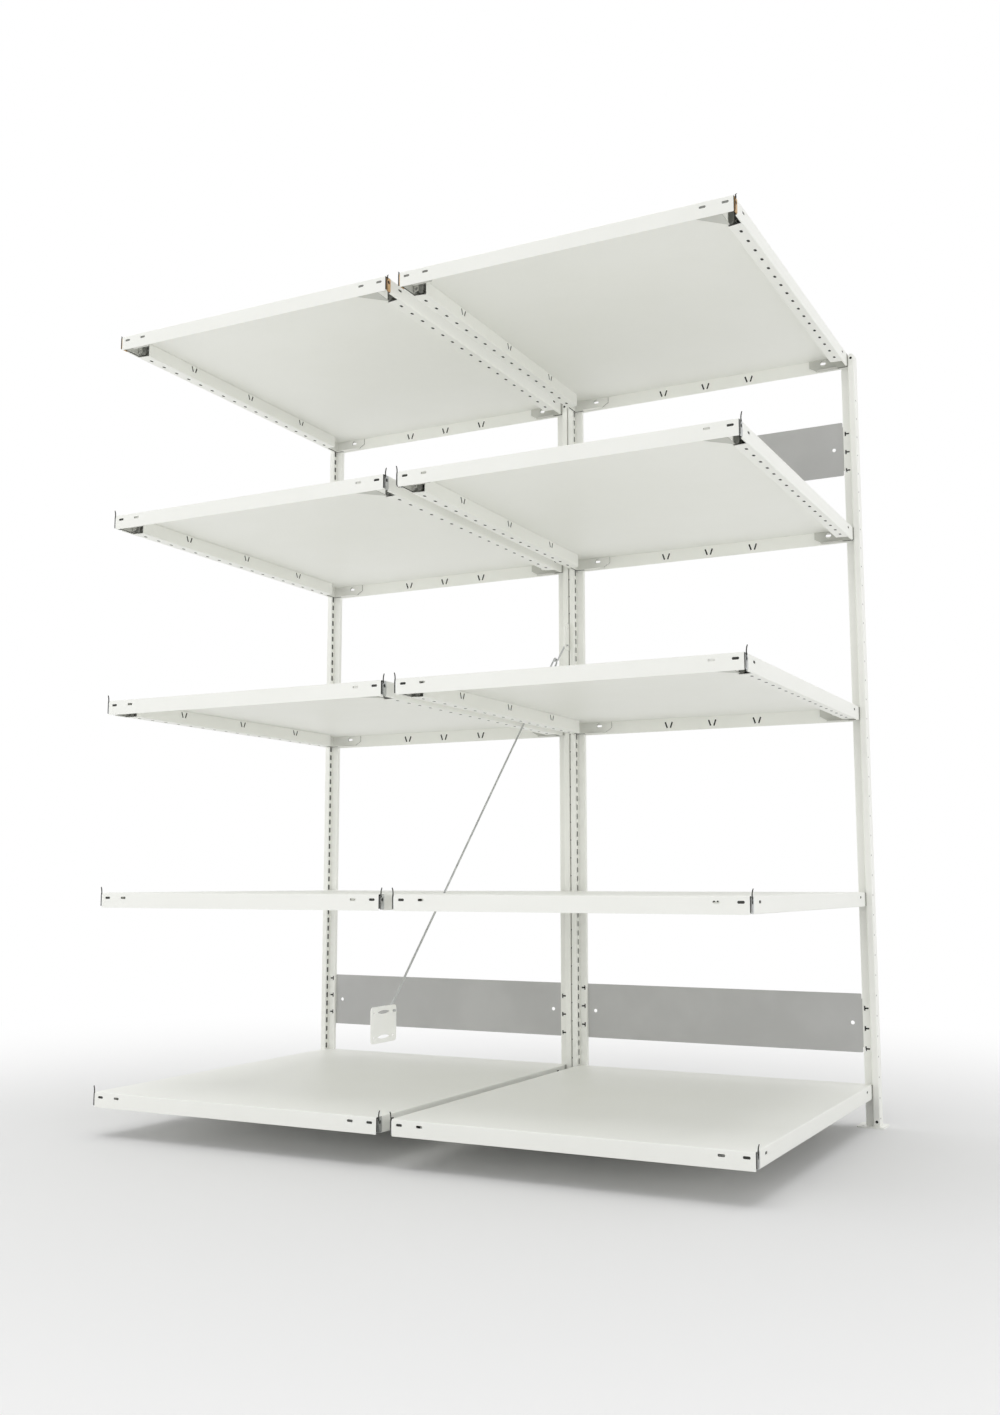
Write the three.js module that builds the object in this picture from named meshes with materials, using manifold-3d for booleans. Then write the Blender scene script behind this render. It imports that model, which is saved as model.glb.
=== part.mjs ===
// Two-bay steel shelving unit: ten pressed trays hooked on four slotted uprights.
// Millimetres, +Z up, +X along the bays to the right, +Y from the front to the rear.
// The origin is on the floor, in the middle of the unit's length and depth.

import * as THREE from 'three';
import { mergeVertices } from 'three/addons/utils/BufferGeometryUtils.js';
import Module from 'manifold-3d';

const wasm = await Module();
wasm.setup();

// Driving sizes of the whole unit.
const trayLength = 800;
const trayDepth = 992;
const trayHeight = 36;
const bayGap = 38;
const levelCount = 5;
const lowestTraySlot = 3;
const uprightHeight = 2000;

// Clearances: between pieces that rest on each other, past a folded edge, and the overrun of a cut.
const seatGap = 0.3;
const cutOverrun = 2;

// Tray.
const traySheet = 1.2;
const trayNotch = 39;
const trayLipWidth = 26;
const traySlotDrop = 12.6;
const traySlotLength = 15;
const traySlotHeight = 6;
const railSlotInset = 18.5;
const railSlotSpacing = 49.5;
const flangeSlotInset = 65;

// Corner bracket inside each tray corner: two legs, a bottom web and a cross wall.
const bracketSheet = 1.5;
const bracketRailLeg = 105;
const bracketFlangeLeg = 89;
const bracketHeight = 32;
const bracketCutLength = 18;
const bracketCutHeight = 14;
const bracketHoleRadius = 7.5;
const crossWallInset = 57;
const crossWallLength = 27;
const weldDepth = 0.2;

// Hook of each bracket: a plate in the tray's notch, and a lug folded outwards from it.
const hookPlateProud = 0.5;
const hookPlateHeight = 33;
const hookLugSheet = 1.8;
const hookNeckHeight = 9;
const hookToothWidth = 2.5;
const hookToothHeight = 17;
const hookToothGap = 0.7;
const frontHookDrop = 14;
const frontHookHeight = 28;

// Upright: a folded section, measured outwards from the tray's end and rearwards from the rear rail.
const uprightSheet = 1.5;
const uprightEndGap = 1;
const boxWidth = 16.5;
const boxFrontReach = 15;
const webRearReach = 20;
const webReturn = 8;
const faceFlangeReach = 21;
const faceFlangeGap = 0.5;
const faceFlangeLip = 10;
const slotPitch = 25;
const slotHeight = 15;
const slotWidth = 5;
const slotDropFromTop = 15.5;
const lowestSlot = 14.5;
const endHoleInset = 12;
const endHoleRadius = 3.5;
const teeBarHeight = 12;
const teeBarWidth = 4;
const teeStemLength = 8;
const teeStemHeight = 4;
const teeBarInset = 4;
const teePitch = 50;

// Foot plate.
const footThickness = 3;
const footBayReach = 40;
const footEndReach = 28;
const footFrontReach = 24;
const footRearReach = 45;
const footTabHeight = 30;
const footTabSheet = 2;

// Back panel.
const panelSheet = 1.5;
const panelHeight = 146;
const panelLeftEnd = 18.5;
const panelRightEnd = 24.5;
const panelCornerRadius = 9;
const panelHoleRadius = 5;
const panelHoleInset = 24;
const panelTongueHeight = 120;
const panelHookHeight = 140;
const panelHookLength = 15;
const panelStudHeight = 6;
const panelStudWidth = 2;
const lowerPanelCentre = 252;

// Brace plates, rod and link in the plane between the bays.
const bracePlateSheet = 2;
const bracePlateDepth = 102;
const bracePlateHeight = 77;
const bracePlateCorner = 8;
const bracePlateOffset = 6;
const braceHoleAcross = 78;
const braceHoleRise = 52;
const braceHoleRadius = 3.1;
const braceSlotLength = 52;
const braceSlotHeight = 8;
const frontBraceCentre = 302;
const rearBraceCentre = 1302;
const wireRadius = 2.5;
const wireTip = 6;
const rodPlane = 10.5;
const linkPlane = 4.5;
const rodBendRadius = 5;
const linkBendRadius = 4;
const rodHookRadius = 9;
const rodHookTail = 9;
const linkLength = 72;
const linkSlope = Math.PI / 4;

// Bolts through the middle pair of uprights.
const boltRadius = 3;
const boltHoleRadius = 3.3;
const boltHeadRadius = 5.5;
const boltHeadHeight = 4;
const boltNutHeight = 5;
const boltTail = 2;
const threadGap = 0.1;
const joiningBoltShares = [0.1, 0.42, 0.9];

// Facets of round shapes.
const holeSides = 8;
const hexSides = 6;
const cornerSteps = 3;
const bendSteps = 3;
const hookSteps = 8;

// Places worked out from the sizes above.
const railPlane = trayDepth / 2;
const bayCentre = (trayLength + bayGap) / 2;
const uprightBottom = footThickness;
const slotCount = Math.floor((uprightHeight - lowestSlot) / slotPitch) + 1;
const levelSlots = Math.floor((slotCount - 1 - lowestTraySlot) / (levelCount - 1));
const levels = Array.from({ length: levelCount }, (_, level) =>
  lowestSlot + (lowestTraySlot + level * levelSlots) * slotPitch + slotDropFromTop);
const panelRise = teePitch * Math.round((uprightHeight - 2 * lowerPanelCentre) / teePitch);
const upperPanelCentre = lowerPanelCentre + panelRise;
const slotCentreIn = -boxFrontReach / 2;
const webInner = uprightEndGap + boxWidth - uprightSheet;
const webOuter = uprightEndGap + boxWidth;
const webMiddle = (webRearReach - boxFrontReach) / 2;
const hookStart = slotCentreIn + hookLugSheet / 2;

// Finishes.
const whitePaint = { color: 0xe6e8df, roughness: 0.5, metalness: 0.0 };
const greyPaint = { color: 0x77797a, roughness: 0.55, metalness: 0.2 };
const brightZinc = { color: 0xa9abab, roughness: 0.35, metalness: 0.8 };
const yellowZinc = { color: 0xc7a062, roughness: 0.35, metalness: 0.8 };

const unit = new THREE.Group();

// A copy of a geometry that holds places only.
function bareCopy(geometry) {
  const bare = geometry.clone();
  bare.deleteAttribute('normal');
  bare.deleteAttribute('uv');
  return bare;
}

// Turns a closed three.js geometry into a solid that can be joined and cut.
function toSolid(geometry) {
  const merged = mergeVertices(bareCopy(geometry));
  return new wasm.Manifold(new wasm.Mesh({
    numProp: 3,
    vertProperties: new Float32Array(merged.attributes.position.array),
    triVerts: new Uint32Array(merged.index.array),
  }));
}

// Turns a solid back into a geometry.
function toGeometry(solid) {
  const mesh = solid.getMesh();
  const geometry = new THREE.BufferGeometry();
  geometry.setAttribute('position', new THREE.BufferAttribute(mesh.vertProperties, 3));
  geometry.setIndex(new THREE.BufferAttribute(mesh.triVerts, 1));
  geometry.computeVertexNormals();
  return geometry;
}

// A block between two values on each axis, given in either order.
function block(x, y, z) {
  const size = [x, y, z].map(([a, b]) => Math.abs(b - a));
  const middle = [x, y, z].map(([a, b]) => (a + b) / 2);
  const geometry = new THREE.BoxGeometry(...size);
  geometry.translate(...middle);
  return toSolid(geometry);
}

// A round bar along one axis, from one place on it to another.
function bar(axis, from, to, centre, radius, sides) {
  const geometry = new THREE.CylinderGeometry(radius, radius, Math.abs(to - from), sides);
  geometry.rotateY(Math.PI / sides);
  if (axis === 'x') geometry.rotateZ(Math.PI / 2);
  if (axis === 'z') geometry.rotateX(Math.PI / 2);
  const middle = (from + to) / 2;
  if (axis === 'x') geometry.translate(middle, centre[0], centre[1]);
  if (axis === 'y') geometry.translate(centre[0], middle, centre[1]);
  if (axis === 'z') geometry.translate(centre[0], centre[1], middle);
  return toSolid(geometry);
}

function join(solids) {
  return solids.reduce((whole, solid) => whole.add(solid));
}

function cut(solid, tools) {
  return tools.length ? solid.subtract(join(tools)) : solid;
}

// The two values of a range turned round by a side, +1 or -1.
function sided(side, from, to) {
  return [side * from, side * to];
}

function place(name, geometry, finish, position = [0, 0, 0]) {
  const mesh = new THREE.Mesh(geometry, new THREE.MeshStandardMaterial(finish));
  mesh.name = name;
  mesh.position.set(...position);
  unit.add(mesh);
  return mesh;
}

// Slots in one rail, at its two ends.
function railSlots(side) {
  const across = sided(side, railPlane - traySheet - cutOverrun, railPlane + cutOverrun);
  const height = [-traySlotDrop - traySlotHeight / 2, -traySlotDrop + traySlotHeight / 2];
  const slots = [];
  for (const end of [-1, 1]) {
    for (const inset of [railSlotInset, railSlotInset + railSlotSpacing]) {
      const middle = end * (trayLength / 2 - inset);
      slots.push(block([middle - traySlotLength / 2, middle + traySlotLength / 2], across, height));
    }
  }
  return slots;
}

// Slots in one side flange, near its two ends.
function flangeSlots(side) {
  const across = sided(side, trayLength / 2 - traySheet - cutOverrun, trayLength / 2 + cutOverrun);
  const height = [-traySlotDrop - traySlotHeight / 2, -traySlotDrop + traySlotHeight / 2];
  return [-1, 1].map((end) => {
    const middle = end * (railPlane - flangeSlotInset);
    return block(across, [middle - traySlotLength / 2, middle + traySlotLength / 2], height);
  });
}

// A flat sheet with the given outline in X and Y, between two heights.
function flatSheet(outline, low, high) {
  const shape = new THREE.Shape(outline.map(([x, y]) => new THREE.Vector2(x, y)));
  const geometry = new THREE.ExtrudeGeometry(shape, { depth: high - low, bevelEnabled: false });
  geometry.translate(0, 0, low);
  return toSolid(geometry);
}

// The return lip along the lower edge of one side flange, its ends cut at 45 degrees.
function flangeLip(side) {
  const outer = trayLength / 2;
  const inner = outer - trayLipWidth;
  const reach = railPlane - trayNotch;
  const outline = [[outer, -reach], [outer, reach], [inner, reach - trayLipWidth], [inner, trayLipWidth - reach]];
  return flatSheet(outline.map(([x, y]) => [side * x, y]), -trayHeight, traySheet - trayHeight);
}

// One tray about the middle of its top face: a sheet folded down on four sides, with the two front
// brackets welded inside it.
function trayGeometry() {
  const half = trayLength / 2;
  const top = block([-half, half], [-railPlane, railPlane], [-traySheet, 0]);
  const sides = [];
  const slots = [];
  const flangeRun = [-railPlane + trayNotch, railPlane - trayNotch];
  for (const side of [-1, 1]) {
    sides.push(block([-half, half], sided(side, railPlane - traySheet, railPlane), [-trayHeight, 0]));
    sides.push(block(sided(side, half - traySheet, half), flangeRun, [-trayHeight, 0]));
    sides.push(flangeLip(side));
    slots.push(...railSlots(side), ...flangeSlots(side));
  }
  const sheet = cut(join([top, ...sides]), slots);
  return toGeometry(join([sheet, bracketSolid(-1, -1, -weldDepth), bracketSolid(1, -1, -weldDepth)]));
}

// One bracket leg with its far lower corner cut off, drawn along +X and standing in the XZ plane. Its
// outer face is at Y = 0 and its top at Z = 0.
function legGeometry(length) {
  const shape = new THREE.Shape();
  shape.moveTo(0, 0);
  shape.lineTo(length, 0);
  shape.lineTo(length, bracketCutHeight - bracketHeight);
  shape.lineTo(length - bracketCutLength, -bracketHeight);
  shape.lineTo(0, -bracketHeight);
  const geometry = new THREE.ExtrudeGeometry(shape, { depth: bracketSheet, bevelEnabled: false });
  geometry.rotateX(Math.PI / 2);
  geometry.translate(0, bracketSheet, 0);
  return geometry;
}

// The pressed part of a bracket, its corner at the origin and its legs along +X and +Y: the rail leg,
// the flange leg, the bottom web on the rail leg, and the cross wall on the flange leg.
function pressedBracket(inset) {
  const railLength = bracketRailLeg - inset;
  const flangeLength = bracketFlangeLeg - inset;
  const through = [-cutOverrun, bracketSheet + cutOverrun];
  const holeMiddle = railSlotInset + railSlotSpacing - inset;
  const hole = bar('y', ...through, [holeMiddle, inset - traySlotDrop], bracketHoleRadius, holeSides);
  const railLeg = toSolid(legGeometry(railLength)).subtract(hole);
  const wallStart = crossWallInset - inset;
  const webReach = railLength - bracketCutLength;
  const web = flatSheet(
    [[crossWallLength, 0], [webReach, 0], [crossWallLength, webReach - crossWallLength]],
    -bracketHeight,
    bracketSheet - bracketHeight,
  );
  const wallRun = [0, crossWallLength + bracketSheet];
  const wall = block(wallRun, [wallStart, wallStart + bracketSheet], [-bracketHeight, 0]);
  return join([railLeg, toSolid(swapXY(legGeometry(flangeLength))), web, wall]);
}

// One bracket about the middle of the tray's top face, with its hook, `gap` away from the tray's sheet.
function bracketSolid(sideX, sideY, gap) {
  const inset = traySheet + gap;
  const pressed = mirror(toGeometry(pressedBracket(inset)), -sideX, -sideY);
  pressed.translate(sideX * (trayLength / 2 - inset), sideY * (railPlane - inset), -inset);
  return toSolid(pressed).add(hookSolid(sideX, sideY, inset));
}

// The hook of one bracket. At the rear its neck rests in an upright's slot and its tooth rises behind
// the slotted wall; at the front the tooth rises above the tray.
function hookSolid(sideX, sideY, inset) {
  const end = trayLength / 2;
  const neckLow = sideY > 0 ? seatGap - slotDropFromTop - slotHeight / 2 : -frontHookDrop;
  const toothHigh = neckLow + (sideY > 0 ? hookToothHeight : frontHookHeight);
  const toothStart = end + uprightEndGap + uprightSheet + hookToothGap;
  const toothEnd = toothStart + hookToothWidth;
  const plateInner = end - inset - bracketSheet / 2;
  const lug = sided(sideY, railPlane + hookStart, railPlane + hookStart - hookLugSheet);
  const plateRun = sided(sideY, railPlane + hookStart, railPlane - trayNotch + seatGap);
  const plateHigh = -traySheet - seatGap;
  return join([
    block(sided(sideX, plateInner, end + hookPlateProud), plateRun, [plateHigh - hookPlateHeight, plateHigh]),
    block(sided(sideX, plateInner, toothEnd), lug, [neckLow, neckLow + hookNeckHeight]),
    block(sided(sideX, toothStart, toothEnd), lug, [neckLow, toothHigh]),
  ]);
}

// Swaps X and Y, keeping the faces pointing out.
function swapXY(geometry) {
  return reflect(geometry, (x, y, z) => [y, x, z]);
}

// Mirrors across the planes whose sign is -1, keeping the faces pointing out.
function mirror(geometry, signX, signY) {
  const turned = (x, y, z) => [signX * x, signY * y, z];
  return signX * signY < 0 ? reflect(geometry, turned) : move(geometry, turned);
}

function move(geometry, rule) {
  const copy = geometry.clone();
  const places = copy.attributes.position;
  for (let i = 0; i < places.count; i += 1) {
    places.setXYZ(i, ...rule(places.getX(i), places.getY(i), places.getZ(i)));
  }
  return copy;
}

function reflect(geometry, rule) {
  const copy = mergeVertices(bareCopy(geometry));
  const order = copy.index.array;
  for (let i = 0; i < order.length; i += 3) {
    [order[i], order[i + 1]] = [order[i + 1], order[i]];
  }
  return move(copy, rule);
}

function addShelves() {
  const tray = trayGeometry();
  const hooks = [['left', -1], ['right', 1]].map(([name, side]) => ({
    name: `rear_${name}_hook`,
    geometry: toGeometry(bracketSolid(side, 1, seatGap)),
  }));
  for (const [bay, side] of [['left', -1], ['right', 1]]) {
    levels.forEach((top, level) => {
      const position = [side * bayCentre, 0, top];
      const shelf = `${bay}_tray_${level + 1}`;
      const hookFinish = level === levelCount - 1 ? yellowZinc : brightZinc;
      place(shelf, tray, whitePaint, position);
      for (const { name, geometry } of hooks) place(`${shelf}_${name}`, geometry, hookFinish, position);
    });
  }
}

// The folded section of an upright whose bay lies on the side `bay`, -1 or +1 in X.
function uprightShape(bay) {
  const inner = uprightEndGap;
  const sheet = uprightSheet;
  const faceFront = faceFlangeGap;
  const outline = [
    [-faceFlangeReach, faceFront + faceFlangeLip],
    [-faceFlangeReach, faceFront],
    [inner, faceFront],
    [inner, -boxFrontReach],
    [webOuter, -boxFrontReach],
    [webOuter, webRearReach],
    [webOuter - webReturn, webRearReach],
    [webOuter - webReturn, webRearReach - sheet],
    [webInner, webRearReach - sheet],
    [webInner, sheet - boxFrontReach],
    [inner + sheet, sheet - boxFrontReach],
    [inner + sheet, faceFront + sheet],
    [sheet - faceFlangeReach, faceFront + sheet],
    [sheet - faceFlangeReach, faceFront + faceFlangeLip],
  ];
  return new THREE.Shape(outline.map(([out, back]) => new THREE.Vector2(-bay * out, back)));
}

// T-holes at the given heights: a bar on the bay's side and a stem towards the web.
function teeHoles(bay, heights) {
  const through = [faceFlangeGap - cutOverrun, faceFlangeGap + uprightSheet + cutOverrun];
  const barStart = teeBarInset - faceFlangeReach;
  const barEnd = barStart + teeBarWidth;
  const holes = [];
  for (const z of heights) {
    const bars = block(sided(-bay, barStart, barEnd), through, [z - teeBarHeight / 2, z + teeBarHeight / 2]);
    const stemRun = sided(-bay, barEnd - teeBarWidth / 2, barEnd + teeStemLength);
    const stem = block(stemRun, through, [z - teeStemHeight / 2, z + teeStemHeight / 2]);
    holes.push(bars.add(stem));
  }
  return holes;
}

// Heights of the three T-holes that one end of a panel hooks into.
function panelTeeHeights(centre, bay) {
  const first = centre + bay * (teePitch + slotPitch / 2);
  return [0, 1, 2].map((step) => first - bay * step * teePitch);
}

function hookSlots(bay) {
  const through = sided(-bay, uprightEndGap - cutOverrun, uprightEndGap + uprightSheet + cutOverrun);
  const across = [slotCentreIn - slotWidth / 2, slotCentreIn + slotWidth / 2];
  return Array.from({ length: slotCount }, (_, index) => {
    const z = lowestSlot + index * slotPitch;
    return block(through, across, [z - slotHeight / 2, z + slotHeight / 2]);
  });
}

// Heights of the bolts through the middle pair.
function boltHeights() {
  const plateBolts = [-1, 1].map((side) => rearBraceCentre + side * braceHoleRise / 2);
  const joiningBolts = joiningBoltShares.map((share) => uprightBottom + share * uprightHeight);
  return [...joiningBolts, ...plateBolts];
}

function uprightGeometry(bay, boltHoles) {
  const section = new THREE.ExtrudeGeometry(uprightShape(bay), { depth: uprightHeight, bevelEnabled: false });
  section.translate(0, 0, uprightBottom);
  const teeHeights = [lowerPanelCentre, upperPanelCentre].flatMap((centre) => panelTeeHeights(centre, bay));
  const faceRun = [-boxFrontReach - cutOverrun, uprightSheet - boxFrontReach + cutOverrun];
  const endHoles = [uprightBottom + endHoleInset, uprightBottom + uprightHeight - endHoleInset].map((z) =>
    bar('y', ...faceRun, [-bay * (uprightEndGap + boxWidth / 2), z], endHoleRadius, holeSides));
  const webRun = sided(-bay, webInner - cutOverrun, webOuter + cutOverrun);
  const webHoles = boltHoles.map((z) => bar('x', ...webRun, [webMiddle, z], boltHoleRadius, holeSides));
  const tools = [...hookSlots(bay), ...teeHoles(bay, teeHeights), ...endHoles, ...webHoles];
  return toGeometry(cut(toSolid(section), tools));
}

// A foot plate under one upright, with a tab that stands inside the upright behind its front face.
function footGeometry(bay, endReach) {
  const plate = block(sided(-bay, -footBayReach, endReach), [-footFrontReach, footRearReach], [0, footThickness]);
  const tabFront = uprightSheet - boxFrontReach + seatGap;
  const tabRun = sided(-bay, uprightEndGap + uprightSheet + seatGap, webInner - seatGap);
  const tabRise = [0, footThickness + footTabHeight];
  return toGeometry(plate.add(block(tabRun, [tabFront, tabFront + footTabSheet], tabRise)));
}

function addUprights() {
  const end = bayCentre + trayLength / 2;
  const start = bayGap / 2;
  const middleReach = start - seatGap;
  const posts = [
    ['left', -end, 1, [], footEndReach],
    ['centre_left', -start, -1, boltHeights(), middleReach],
    ['centre_right', start, 1, boltHeights(), middleReach],
    ['right', end, -1, [], footEndReach],
  ];
  for (const [name, x, bay, boltHoles, reach] of posts) {
    place(`${name}_upright`, uprightGeometry(bay, boltHoles), whitePaint, [x, railPlane, 0]);
    place(`${name}_foot_plate`, footGeometry(bay, reach), whitePaint, [x, railPlane, 0]);
  }
}

// A rectangle with rounded corners, about its middle.
function roundedRectangle(width, height, radius) {
  const x = width / 2 - radius;
  const y = height / 2 - radius;
  const turn = Math.PI / 2;
  const shape = new THREE.Shape();
  shape.moveTo(x, -height / 2);
  shape.absarc(x, -y, radius, -turn, 0, false);
  shape.absarc(x, y, radius, 0, turn, false);
  shape.absarc(-x, y, radius, turn, 2 * turn, false);
  shape.absarc(-x, -y, radius, 2 * turn, 3 * turn, false);
  return shape;
}

// A back panel about the middle of its bay and of its own height: a plate behind the uprights' lips,
// with a hook plate at each end that lies behind the face flange and has a stud in each T-hole.
function panelGeometry() {
  const half = trayLength / 2;
  const left = -half + panelLeftEnd;
  const right = half - panelRightEnd;
  const plateFront = faceFlangeGap + faceFlangeLip + seatGap;
  const plateRear = plateFront + panelSheet;
  const hookFront = faceFlangeGap + uprightSheet + seatGap;
  const outline = roundedRectangle(right - left, panelHeight, panelCornerRadius);
  const settings = { depth: panelSheet, bevelEnabled: false, curveSegments: cornerSteps };
  const body = new THREE.ExtrudeGeometry(outline, settings);
  body.rotateX(Math.PI / 2);
  body.translate((left + right) / 2, plateRear, 0);
  const holes = [left + panelHoleInset, right - panelHoleInset].map((x) =>
    bar('y', plateFront - cutOverrun, plateRear + cutOverrun, [x, 0], panelHoleRadius, holeSides));
  const pieces = [cut(toSolid(body), holes)];
  for (const side of [-1, 1]) {
    const wallOuter = half - faceFlangeReach + uprightSheet + seatGap;
    const wallInner = wallOuter + panelSheet;
    const hookEnd = wallOuter + panelHookLength;
    const bodyEnd = side < 0 ? -left : right;
    const tongue = [-panelTongueHeight / 2, panelTongueHeight / 2];
    const tongueRun = sided(side, bodyEnd - panelCornerRadius, wallInner);
    const hook = [-panelHookHeight / 2, panelHookHeight / 2];
    pieces.push(block(tongueRun, [plateFront, plateRear], tongue));
    pieces.push(block(sided(side, wallOuter, wallInner), [hookFront, plateRear], tongue));
    pieces.push(block(sided(side, wallOuter, hookEnd), [hookFront, hookFront + panelSheet], hook));
    const barMiddle = half - faceFlangeReach + teeBarInset + teeBarWidth / 2;
    const studRun = sided(side, barMiddle - panelStudWidth / 2, barMiddle + panelStudWidth / 2);
    for (const height of panelTeeHeights(0, -side)) {
      const rise = [height - panelStudHeight / 2, height + panelStudHeight / 2];
      pieces.push(block(studRun, [faceFlangeGap, hookFront + panelSheet], rise));
    }
  }
  return toGeometry(join(pieces));
}

function addPanels() {
  const panel = panelGeometry();
  for (const [row, centre] of [['lower', lowerPanelCentre], ['upper', upperPanelCentre]]) {
    for (const [bay, side] of [['left', -1], ['right', 1]]) {
      place(`${bay}_${row}_back_panel`, panel, greyPaint, [side * bayCentre, railPlane, centre]);
    }
  }
}

// A long slot whose top and bottom bow outwards from pointed ends.
function lensPath(length, height, y) {
  const path = new THREE.Path();
  path.moveTo(-length / 2, y);
  path.quadraticCurveTo(0, y - height, length / 2, y);
  path.quadraticCurveTo(0, y + height, -length / 2, y);
  return path;
}

// A brace plate standing in the YZ plane, about its middle.
function bracePlateGeometry() {
  const shape = roundedRectangle(bracePlateDepth, bracePlateHeight, bracePlateCorner);
  for (const side of [-1, 1]) {
    shape.holes.push(lensPath(braceSlotLength, braceSlotHeight, side * braceHoleRise / 2));
  }
  const settings = { depth: bracePlateSheet, bevelEnabled: false, curveSegments: cornerSteps };
  const plate = new THREE.ExtrudeGeometry(shape, settings);
  plate.translate(0, 0, -bracePlateSheet / 2);
  plate.rotateY(Math.PI / 2);
  plate.rotateX(Math.PI / 2);
  const run = [-bracePlateSheet / 2 - cutOverrun, bracePlateSheet / 2 + cutOverrun];
  const holes = [];
  for (const side of [-1, 1]) {
    for (const rise of [-1, 1]) {
      const centre = [side * braceHoleAcross / 2, rise * braceHoleRise / 2];
      holes.push(bar('x', ...run, centre, braceHoleRadius, holeSides));
    }
  }
  return toGeometry(cut(toSolid(plate), holes));
}

// A wire bent through hand-placed points, which stay where they are along it.
class BentWire extends THREE.Curve {
  constructor(points) {
    super();
    this.points = points;
  }

  getPoint(share) {
    const last = this.points.length - 1;
    const place = share * last;
    const index = Math.min(Math.floor(place), last - 1);
    return this.points[index].clone().lerp(this.points[index + 1], place - index);
  }

  getPointAt(share) {
    return this.getPoint(share);
  }

  getTangentAt(share) {
    const last = this.points.length - 1;
    const index = Math.round(share * last);
    const before = this.points[Math.max(index - 1, 0)];
    const after = this.points[Math.min(index + 1, last)];
    return after.clone().sub(before).normalize();
  }
}

// A quarter bend from one direction to another, starting at a point.
function bend(start, from, to, radius) {
  return Array.from({ length: bendSteps + 1 }, (_, step) => {
    const angle = (step / bendSteps) * Math.PI / 2;
    return start.clone()
      .addScaledVector(from, radius * Math.sin(angle))
      .addScaledVector(to, radius * (1 - Math.cos(angle)));
  });
}

function wireGeometry(points) {
  const section = new THREE.Shape(Array.from({ length: holeSides }, (_, index) => {
    const angle = 2 * Math.PI * (index + 0.5) / holeSides;
    return new THREE.Vector2(wireRadius * Math.cos(angle), wireRadius * Math.sin(angle));
  }));
  const path = new BentWire(points);
  return new THREE.ExtrudeGeometry(section, { steps: points.length - 1, bevelEnabled: false, extrudePath: path });
}

function addBracing() {
  const plate = bracePlateGeometry();
  const plateMiddle = railPlane + bracePlateOffset;
  place('front_brace_plate', plate, whitePaint, [0, -plateMiddle, frontBraceCentre]);
  place('rear_brace_plate', plate, whitePaint, [0, plateMiddle, rearBraceCentre]);

  const holeIn = plateMiddle - braceHoleAcross / 2;
  const lower = new THREE.Vector3(0, -holeIn, frontBraceCentre + braceHoleRise / 2);
  const upper = new THREE.Vector3(0, holeIn, rearBraceCentre - braceHoleRise / 2);
  const left = new THREE.Vector3(-1, 0, 0);

  // The link hangs from the rear plate, and its lower end is the pin that the rod hooks over.
  const linkDown = new THREE.Vector3(0, -Math.cos(linkSlope), -Math.sin(linkSlope));
  const pin = upper.clone().addScaledVector(linkDown, linkLength);
  const linkTop = bend(new THREE.Vector3(linkBendRadius - linkPlane, upper.y, upper.z), left, linkDown, linkBendRadius);
  const linkTurn = pin.clone().setX(-linkPlane).addScaledVector(linkDown, -linkBendRadius);
  const linkPoints = [
    upper.clone().setX(wireTip),
    ...linkTop,
    ...bend(linkTurn, linkDown, left, linkBendRadius),
    pin.clone().setX(-rodPlane - wireTip),
  ];
  place('brace_link', wireGeometry(linkPoints), brightZinc);

  // The rod runs straight from the front plate to a hook whose inside rests on that pin.
  const pinSeat = rodHookRadius - 2 * wireRadius - seatGap;
  const wide = pin.clone().sub(lower);
  const reach = Math.hypot(wide.y, wide.z);
  const along = Math.sqrt(reach * reach - rodHookRadius * rodHookRadius);
  const up = new THREE.Vector3(
    0,
    (along * wide.y - rodHookRadius * wide.z) / (reach * reach),
    (along * wide.z + rodHookRadius * wide.y) / (reach * reach),
  );
  const over = new THREE.Vector3(0, up.z, -up.y);
  const hookStart = lower.clone().setX(-rodPlane).addScaledVector(up, along - pinSeat);
  const hookArc = Array.from({ length: hookSteps + 1 }, (_, step) => {
    const angle = (step / hookSteps) * Math.PI;
    return hookStart.clone()
      .addScaledVector(over, rodHookRadius * (1 - Math.cos(angle)))
      .addScaledVector(up, rodHookRadius * Math.sin(angle));
  });
  const hookEnd = hookArc[hookSteps].clone().addScaledVector(up, -rodHookTail);
  const footBend = bend(new THREE.Vector3(rodBendRadius - rodPlane, lower.y, lower.z), left, up, rodBendRadius);
  place('brace_rod', wireGeometry([lower.clone().setX(wireTip), ...footBend, ...hookArc, hookEnd]), brightZinc);
}

// Bolts along X through both middle webs, each with its head on the left and a nut on the right.
function addBolts() {
  const face = bayGap / 2 - webInner + seatGap;
  const nutEnd = face + boltNutHeight;
  boltHeights().forEach((z, index) => {
    const centre = [webMiddle, z];
    const head = bar('x', -face - boltHeadHeight, -face, centre, boltHeadRadius, hexSides);
    const shank = bar('x', -face - boltHeadHeight / 2, nutEnd + boltTail, centre, boltRadius, holeSides);
    const nut = bar('x', face, nutEnd, centre, boltHeadRadius, hexSides);
    const bore = bar('x', face - cutOverrun, nutEnd + cutOverrun, centre, boltRadius + threadGap, holeSides);
    const use = index < joiningBoltShares.length
      ? `upright_joining_${index + 1}`
      : `brace_plate_${index - joiningBoltShares.length + 1}`;
    place(`${use}_bolt`, toGeometry(head.add(shank)), brightZinc, [0, railPlane, 0]);
    place(`${use}_nut`, toGeometry(nut.subtract(bore)), brightZinc, [0, railPlane, 0]);
  });
}

addUprights();
addShelves();
addPanels();
addBracing();
addBolts();

export default unit;
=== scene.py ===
import cmath
import logging
import math
from collections.abc import Callable, Iterable, Iterator, Sequence
from dataclasses import dataclass
from enum import Enum, IntEnum
from itertools import accumulate, pairwise, product

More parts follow.
